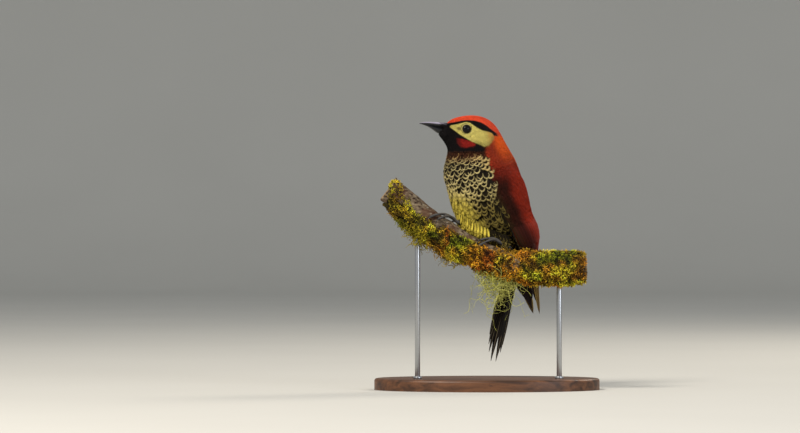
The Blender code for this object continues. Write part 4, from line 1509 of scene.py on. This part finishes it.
def barkMaterial():
    # weathered bark: grey-brown, matt, darker and redder in its cracks
    material, tree = newMaterial("weathered bark", Roughness=0.9, Specular_IOR_Level=0.15)
    cracks = objectPlaces(tree, (150.0, 420.0, 420.0))  # 2.4 mm apart, 7 mm long
    grain = addNode(tree, "TexNoise", {"Vector": cracks, "Scale": 1.0, "Detail": 7.0})
    places = objectPlaces(tree)
    patches = addNode(tree, "TexNoise", {"Vector": places, "Scale": 90.0, "Detail": 4.0})  # 11 mm
    spots = addNode(tree, "TexNoise", {"Vector": places, "Scale": 260.0, "Detail": 4.0})  # 4 mm
    crack = addNode(tree, "MapRange", {0: grain, 1: 0.36, 2: 0.66})
    colour = addNode(tree, "Mix", {0: crack, 6: "2A1B14", 7: "887860"}, 2, data_type="RGBA")
    rust = addNode(tree, "MapRange", {0: patches, 1: 0.45, 2: 0.62, 4: 0.75})
    crust = addNode(tree, "MapRange", {0: spots, 1: 0.64, 2: 0.72, 4: 0.6})
    # the sawn ends: pale wood with year rings 1.1 mm apart, weathered grey-brown
    drift = addNode(tree, "MapRange", {0: patches, 3: -1.2, 4: 1.2})
    reach = addNode(tree, "Attribute", out="Fac", attribute_name="reach")
    ringed = addNode(tree, "Math", {0: reach, 1: drift}, operation="ADD")
    wave = addNode(tree, "Math", {0: ringed, 1: 5.7}, operation="MULTIPLY")
    year = addNode(tree, "Math", {0: wave}, operation="SINE")
    late = addNode(tree, "MapRange", {0: year, 1: 0.1, 2: 1.0})
    wood = addNode(tree, "Mix", {0: late, 6: "A58A64", 7: "7C6244"}, 2, data_type="RGBA")
    sawn = addNode(tree, "Attribute", out="Fac", attribute_name="sawn")
    for share, laid in ((rust, "4A2E20"), (crust, "9A9484"), (sawn, wood)):
        colour = addNode(tree, "Mix", {0: share, 6: colour, 7: laid}, 2, data_type="RGBA")
    return finished(material, colour, grain, 0.7, 1.2)


def sawnEnds(spots, normals):
    # millimetres from the branch's middle line, and how far each place is on one of its sawn ends
    end = perchLine["end"]
    reach = np.zeros(len(spots))
    sawn = np.zeros(len(spots))
    for sign in (-1, 1):
        middle, before = perchAt(np.array((sign * end, sign * (end - 6))))[0]
        ahead = unit(middle - before)
        half = spots[:, 0] * sign > 60
        away = spots - middle
        along = away @ ahead
        beside = np.linalg.norm(away - along[:, None] * ahead, axis=1)
        last = along[half].max()
        share = smoothStep(1.3, 0.7, last - along) * smoothStep(0.5, 0.8, normals @ ahead)
        share = share * smoothStep(perchLine["radius"] - 0.5, perchLine["radius"] - 1.2, beside)
        reach = np.where(half, beside, reach)
        sawn = np.where(half, share, sawn)
    return reach, sawn


def makePerch():
    bm = remeshed(mergedCopy("perch"), perchPlan["voxel"], 3)
    bm.normal_update()
    spots = spotsOf(bm) * 1000
    stretched = spots * np.array((0.3, 1.0, 1.0))
    rough = -np.abs(ripple(stretched, 0.55, 3)) + 0.5 * ripple(spots, 0.25, 5) + 0.3
    reach, sawn = sawnEnds(spots, np.array([v.normal for v in bm.verts]))
    raised(bm, rough * perchPlan["bark"] * (1 - 0.85 * sawn))
    pieceOf("bark", bm, barkMaterial(), "bark", ("perch",), reach=reach, sawn=sawn)


def softMaterial(name, roughness, flecks, dark, light):
    # thin dry leaves or threads: matt, each in its own colour, with fine flecks
    material, tree = newMaterial(name, Roughness=roughness, Specular_IOR_Level=0.2)
    ground = addNode(tree, "Attribute", attribute_name="ground")
    noise = addNode(tree, "TexNoise", {"Vector": objectPlaces(tree), "Scale": flecks})
    return finished(material, toned(tree, ground, noise, dark, light))


def mossColour(points):
    # hues drift along the branch: yellow-green, then rust, then gold and olive
    spots = points * 1000
    x = spots[:, 0]
    least = {"727C18": 0.6 * smoothStep(-52, -66, x)}  # olive at the branch's upper end
    near = smoothStep(-44, -34, x) * smoothStep(12, 2, x)
    most = {"9A5216": 0.35 + near}  # and rust mostly under the bird
    colour = np.tile(tone(perchPlan["mossGround"]), (len(points), 1))
    for code, seed, low, high in perchPlan["mossHues"]:
        share = smoothStep(low, high, ripple(spots, 0.22, seed))
        share = np.maximum(share, least.get(code, 0)) * most.get(code, 1)
        colour = colour + (tone(code) - colour) * share.clip(0, 1)[:, None] * 0.9
    return colour


def lichenColour(points):
    return np.tile(tone(perchPlan["lichenColour"]), (len(points), 1))


def mossLumps(points):
    # cushions of a few millimetres, with finer ones on them, about -1 to 1
    spots = points * 1000
    return 0.45 * ripple(spots, 0.55, 21) + 0.8 * ripple(spots, 1.25, 22)


def mossRise(points):
    return mossLumps(points) * perchPlan["mossLump"] - 0.3


def mossCover(points):
    x, around = perchPlaces(points)
    around = np.where(around < -90, around + 360, around)
    edge = np.interp(x, perchPlan["mossFrom"], perchPlan["mossEdge"]) + 14 * ripple(points * 1000, 0.35, 24)
    end = perchPlan["mossEnd"]
    return smoothStep(-8, 6, around - edge) * smoothStep(end + 8, end - 8, around)


def makeMossBed(material):
    bed = remeshed(mergedCopy(*mossNodes), perchPlan["mossVoxel"], 4)
    raised(bed, mossRise(spotsOf(bed)))
    places = spotsOf(bed)
    # painted shade: the bed under the sprigs is 3 to 30 per cent as bright as the moss, darkest in the
    # hollows between the cushions
    colour = mossColour(places) * (0.03 + 0.27 * smoothStep(-0.5, 0.9, mossLumps(places)))[:, None]
    pieceOf("moss_bed", bed, material, "moss", mossNodes, ground=withAlpha(colour))


def mossySurface():
    # the bark and, where it is covered, the cushions on it
    whole = remeshed(mergedCopy("perch", *mossNodes), perchPlan["mossVoxel"], 3)
    places = spotsOf(whole)
    surface = surfaceOf(raised(whole, mossRise(places) * mossCover(places)))
    whole.free()
    return surface


def makeSprigs(surface, material):
    # sprigs of a few leaves grow on the cushions and, between them, on the bark
    def covered(points):
        clear = perchLine["end"] - perchPlan["mossClear"]
        return (mossCover(points) > 0.5) & (np.abs(points[:, 0]) * 1000 < clear)

    roots = scatter(surface, perchPlan["mossSpacing"], covered)
    normals = nearestOn(surface, roots)[1]
    lump = smoothStep(-0.7, 0.9, mossLumps(roots))
    leaves = perchPlan["mossLeaves"]
    shape = vaneShape((0.35, 0.8), 2, lambda t: np.array((1.0, 0.55)), 0.28, 0.0)
    stations = shape["stations"][:, None]
    for word, (low, high) in perchPlan["mossParts"].items():
        mine = (roots[:, 0] >= low) & (roots[:, 0] < high)
        count = int(mine.sum())
        total = count * leaves
        stems = normals[mine] * (chance.uniform(-0.2, 1.0, (count, 1)) / 1000)
        starts = np.repeat(roots[mine] + stems, leaves, axis=0)[:, None]
        ways = np.repeat(normals[mine], leaves, axis=0) * 0.55 + unit(chance.normal(size=(total, 3)))
        length = chance.uniform(*perchPlan["mossLength"], total)
        length = length * np.repeat(0.5 + 0.65 * lump[mine], leaves)
        bend = unit(chance.normal(size=(total, 3)))[:, None] * stations ** 2 * 0.35
        middles = starts + (unit(ways)[:, None] * stations + bend) * length[:, None, None] / 1000
        aheads = unit(np.gradient(middles, axis=1))
        up = unit(np.cross(aheads, unit(chance.normal(size=(total, 3)))[:, None]))
        width = perchPlan["mossWidth"] * chance.uniform(0.7, 1.3, total)
        points = vanePoints(shape, middles, up, aheads, width)
        # a random tone for each sprig, times painted light and shade: brighter on the cushions' tops, darker
        # in the hollows between them
        shade = chance.normal(1, 0.4, count) * (0.13 + 2.6 * lump[mine] ** 1.7)
        colour = np.repeat(mossColour(roots[mine]) * shade[:, None].clip(0.1, 2.8), leaves, axis=0)
        colour = colour * chance.normal(1, 0.25, (total, 1)).clip(0.5, 1.6)
        paint = {"ground": withAlpha(np.repeat(colour, points.shape[1], axis=0))}
        places = np.repeat(fitted(np.stack(perchPlaces(roots[mine]), axis=1)), leaves, axis=0)
        featherPiece("moss_sprigs_" + word, shape, points, places, paint, material, "moss")
        print("moss", word, total, "leaves")


def makeThreads(name, surface, tufts, wide, colourAt, material):
    # curling threads that hang from the moss
    roots, length = [], []
    for x, strands, longest in tufts:
        for _ in range(strands):
            along = (x + chance.normal(0, 3.5)) / 1000
            start = Vector((along, perchLine["side"] / 1000 + chance.normal(0, 0.006), 0.0))
            hit = surface["tree"].ray_cast(start, Vector((0, 0, 1)))
            if hit[0]:
                roots.append(hit[0])
                length.append(longest * chance.uniform(0.45, 1.0))
    roots, length = np.array(roots), np.array(length)
    count = len(roots)
    shape = vaneShape(np.linspace(0.03, 0.97, 26), 2, lambda t: 1 - 0.55 * t, 0.32, 0.0)
    fall = np.array((0.0, 0.0, -1.0))
    way = unit(fall + chance.normal(0, 0.5, (count, 3)))
    turn = chance.normal(0, 1, (count, 3))
    spot = roots + np.array((0, 0, 0.001))
    middles = [spot]
    for step in np.diff(shape["stations"]):
        turn = 0.8 * turn + chance.normal(0, 0.6, (count, 3))
        way = unit(way + perchPlan["curl"] * np.cross(turn, way) + perchPlan["droop"] * fall)
        spot = spot + way * (length * step / 1000)[:, None]
        middles.append(spot)
    middles = np.stack(middles, axis=1)
    aheads = unit(np.gradient(middles, axis=1))
    normals = unit(np.cross(aheads, unit(chance.normal(size=(count, 3)))[:, None]))
    points = vanePoints(shape, middles, normals, aheads, chance.uniform(*wide, count))
    colour = colourAt(roots) * chance.normal(1, 0.18, (count, 1)).clip(0.5, 1.5)
    paint = {"ground": withAlpha(np.repeat(colour, points.shape[1], axis=0))}
    featherPiece(name, shape, points, gridPlaces(count, 20), paint, material, "moss", patch=0.045)
    print(name, count, "threads")


print("perch")
makePerch()
mossFinish = softMaterial("branch moss", 0.85, 700.0, 0.7, 1.25)
lichenFinish = softMaterial("beard lichen", 0.8, 500.0, 0.8, 1.2)
makeMossBed(mossFinish)
mossSurface = mossySurface()
makeSprigs(mossSurface, mossFinish)
makeThreads("lichen_threads", mossSurface, perchPlan["lichens"], (0.3, 0.55), lichenColour, lichenFinish)
makeThreads("moss_strands", mossSurface, perchPlan["tufts"], (0.6, 1.3), mossColour, mossFinish)

standPlan = {  # metres and degrees
    "rim": 0.0025,
    "steps": 4,
    "collar": 0.0042,
    "collarHigh": 0.0022,
    "softEdge": 0.0004,
    "sharpAngle": 35,
}


def woodMaterial():
    # oiled walnut: straight dark grain along the base, satin
    material, tree = newMaterial("oiled walnut", Roughness=0.42, Specular_IOR_Level=0.4)
    long = objectPlaces(tree, (14.0, 170.0, 170.0))  # bands 6 mm wide, 70 long
    grain = addNode(tree, "TexNoise", {"Vector": long, "Scale": 1.0, "Detail": 5.0, "Distortion": 0.6})
    bands = addNode(tree, "MapRange", {0: grain, 1: 0.35, 2: 0.65})
    wood = addNode(tree, "Mix", {0: bands, 6: "3A2416", 7: "6B452B"}, 2, data_type="RGBA")
    pores = objectPlaces(tree, (150.0, 1500.0, 1500.0))  # 0.7 mm wide, 7 long
    pore = addNode(tree, "TexNoise", {"Vector": pores, "Scale": 1.0, "Detail": 1.0})
    pit = addNode(tree, "MapRange", {0: pore, 1: 0.62, 2: 0.7, 4: 0.5})
    wood = addNode(tree, "Mix", {0: pit, 6: wood, 7: "1E120B"}, 2, data_type="RGBA")
    return finished(material, wood, pore, 0.15, 0.3)


def steelMaterial():
    # ground stainless steel rod: fine rings of grinding marks
    material, tree = newMaterial("ground steel", Metallic=1.0)
    rings = objectPlaces(tree, (300.0, 300.0, 5000.0))  # 0.2 mm apart
    marks = addNode(tree, "TexNoise", {"Vector": rings, "Scale": 1.0})
    gloss = addNode(tree, "MapRange", {0: marks, 3: 0.22, 4: 0.38})
    tree.links.new(gloss, tree.nodes["Principled BSDF"].inputs["Roughness"])
    steel = addNode(tree, "Mix", {0: marks, 6: "9A9C9E", 7: "C4C6C8"}, 2, data_type="RGBA")
    return finished(material, steel)


def bevelled(bm, edges, offset, segments):
    bmesh.ops.bevel(
        bm, geom=edges, offset=offset, segments=segments, profile=0.5, affect="EDGES", material=-1
    )


def makeStand():
    sharp = math.radians(standPlan["sharpAngle"])
    low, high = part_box("stand_base")
    size = high - low
    bm = bmesh.new()
    bmesh.ops.create_cone(bm, cap_ends=True, segments=160, radius1=0.5, radius2=0.5, depth=size.z)
    bmesh.ops.scale(bm, verts=bm.verts, vec=(size.x, size.y, 1))
    bmesh.ops.translate(bm, verts=bm.verts, vec=(low + high) / 2)
    rim = [e for e in bm.edges if all(v.co.z > low.z + size.z * 0.9 for v in e.verts)]
    bevelled(bm, rim, standPlan["rim"], standPlan["steps"])
    base = pieceOf("walnut_base", bm, woodMaterial(), "stand_wood", ("stand_base",))
    base.data.set_sharp_from_angle(angle=sharp)
    steel = steelMaterial()
    top = high.z
    for word in sideSigns:
        low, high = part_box("stand_rod_" + word)
        middle = (low + high) / 2
        bm = bmesh.new()
        radius = (high.x - low.x) / 2
        for r, bottom, upper in (
            (radius, low.z, high.z), (standPlan["collar"], top, top + standPlan["collarHigh"]),
        ):
            made = bmesh.ops.create_cone(
                bm, cap_ends=True, segments=40, radius1=r, radius2=r, depth=upper - bottom
            )["verts"]
            bmesh.ops.translate(bm, verts=made, vec=(middle.x, middle.y, (bottom + upper) / 2))
            rings = [e for e in bm.edges if e.verts[0] in made and len({v.co.z for v in e.verts}) == 1]
            bevelled(bm, rings, standPlan["softEdge"], 2)
        rod = pieceOf("steel_rod_" + word, bm, steel, "stand_steel", ("stand_rod_" + word,))
        rod.data.set_sharp_from_angle(angle=sharp)


print("stand")
makeStand()

# Floor, light and camera, in metres and watts.
stagePlan = {"wide": 14.0, "front": -7.0, "back": 5.0, "bend": 1.4, "high": 5.0}
viewPlan = {
    "middle": (-0.0826, 0.1645),
    "away": 4.0,
    "across": 0.76,  # the frame's width at the bird
    "sensor": 36.0,  # millimetres
    "aim": (0.0, 0.0, 0.15),
    # place, width, power and warmth of each lamp
    "lamps": {
        "key": ((-1.3, -1.7, 2.1), 0.9, 82.0, "FFF6EA"),
        "fill": ((1.9, -1.9, 0.9), 1.6, 22.0, "F2F6FF"),
        "rim": ((1.3, 1.2, 1.5), 0.8, 22.0, "FFF4E4"),
    },
    "sky": ("E8ECF0", 0.5),
}


def makeStage():
    bm = bmesh.new()
    front, back, bend = stagePlan["front"], stagePlan["back"], stagePlan["bend"]
    line = [(front, 0.0), (back, 0.0)]
    line += [
        (back + bend * math.sin(a), bend - bend * math.cos(a)) for a in np.linspace(0, math.pi / 2, 13)[1:]
    ]
    line.append((back + bend, stagePlan["high"]))
    row = [bm.verts.new((-stagePlan["wide"] / 2, y, z)) for y, z in line]
    edges = [bm.edges.new(pair) for pair in zip(row, row[1:])]
    moved = bmesh.ops.extrude_edge_only(bm, edges=edges)["geom"]
    bmesh.ops.translate(
        bm, verts=[v for v in moved if isinstance(v, bmesh.types.BMVert)], vec=(stagePlan["wide"], 0, 0)
    )
    bmesh.ops.recalc_face_normals(bm, faces=bm.faces)
    if sum(f.normal.z for f in bm.faces) < 0:
        bmesh.ops.reverse_faces(bm, faces=bm.faces)
    mesh = meshOf("floor", bm)
    floor = bpy.data.objects.new("floor", mesh)
    scene.collection.objects.link(floor)
    mesh.polygons.foreach_set("use_smooth", [True] * len(mesh.polygons))
    # painted studio card: pale and matt
    material, tree = newMaterial("matt card", Roughness=0.9, Specular_IOR_Level=0.1)
    mottle = addNode(tree, "TexNoise", {"Vector": objectPlaces(tree), "Scale": 3.0})
    card = addNode(tree, "Mix", {0: mottle, 6: "C2C1BB", 7: "C8C7C1"}, 2, data_type="RGBA")
    mesh.materials.append(finished(material, card))


def addLamp(name, place, wide, power, warmth):
    lamp = bpy.data.lights.new(name, "AREA")
    lamp.shape = "DISK"
    lamp.size = wide
    lamp.energy = power
    lamp.color = linear(warmth)[:3]
    holder = bpy.data.objects.new(name, lamp)
    scene.collection.objects.link(holder)
    holder.location = place
    aim = Vector(viewPlan["aim"]) - Vector(place)
    holder.rotation_euler = aim.to_track_quat("-Z", "Y").to_euler()


def makeView():
    camera = bpy.data.objects.new("camera", bpy.data.cameras.new("camera"))
    scene.collection.objects.link(camera)
    camera.data.sensor_width = viewPlan["sensor"]
    camera.data.lens = viewPlan["sensor"] * viewPlan["away"] / viewPlan["across"]
    camera.data.clip_end = 50.0
    camera.location = (viewPlan["middle"][0], -viewPlan["away"], viewPlan["middle"][1])
    camera.rotation_euler = (math.pi / 2, 0, 0)
    scene.camera = camera
    for name, lamp in viewPlan["lamps"].items():
        addLamp(name, *lamp)
    world = bpy.data.worlds.new("studio")
    world.use_nodes = True
    sky = world.node_tree.nodes["Background"]
    code, strength = viewPlan["sky"]
    sky.inputs[0].default_value = linear(code)
    sky.inputs[1].default_value = strength
    scene.world = world
    scene.view_settings.view_transform = "Standard"


print("stage")
makeStage()
makeView()
bpy.context.view_layer.update()
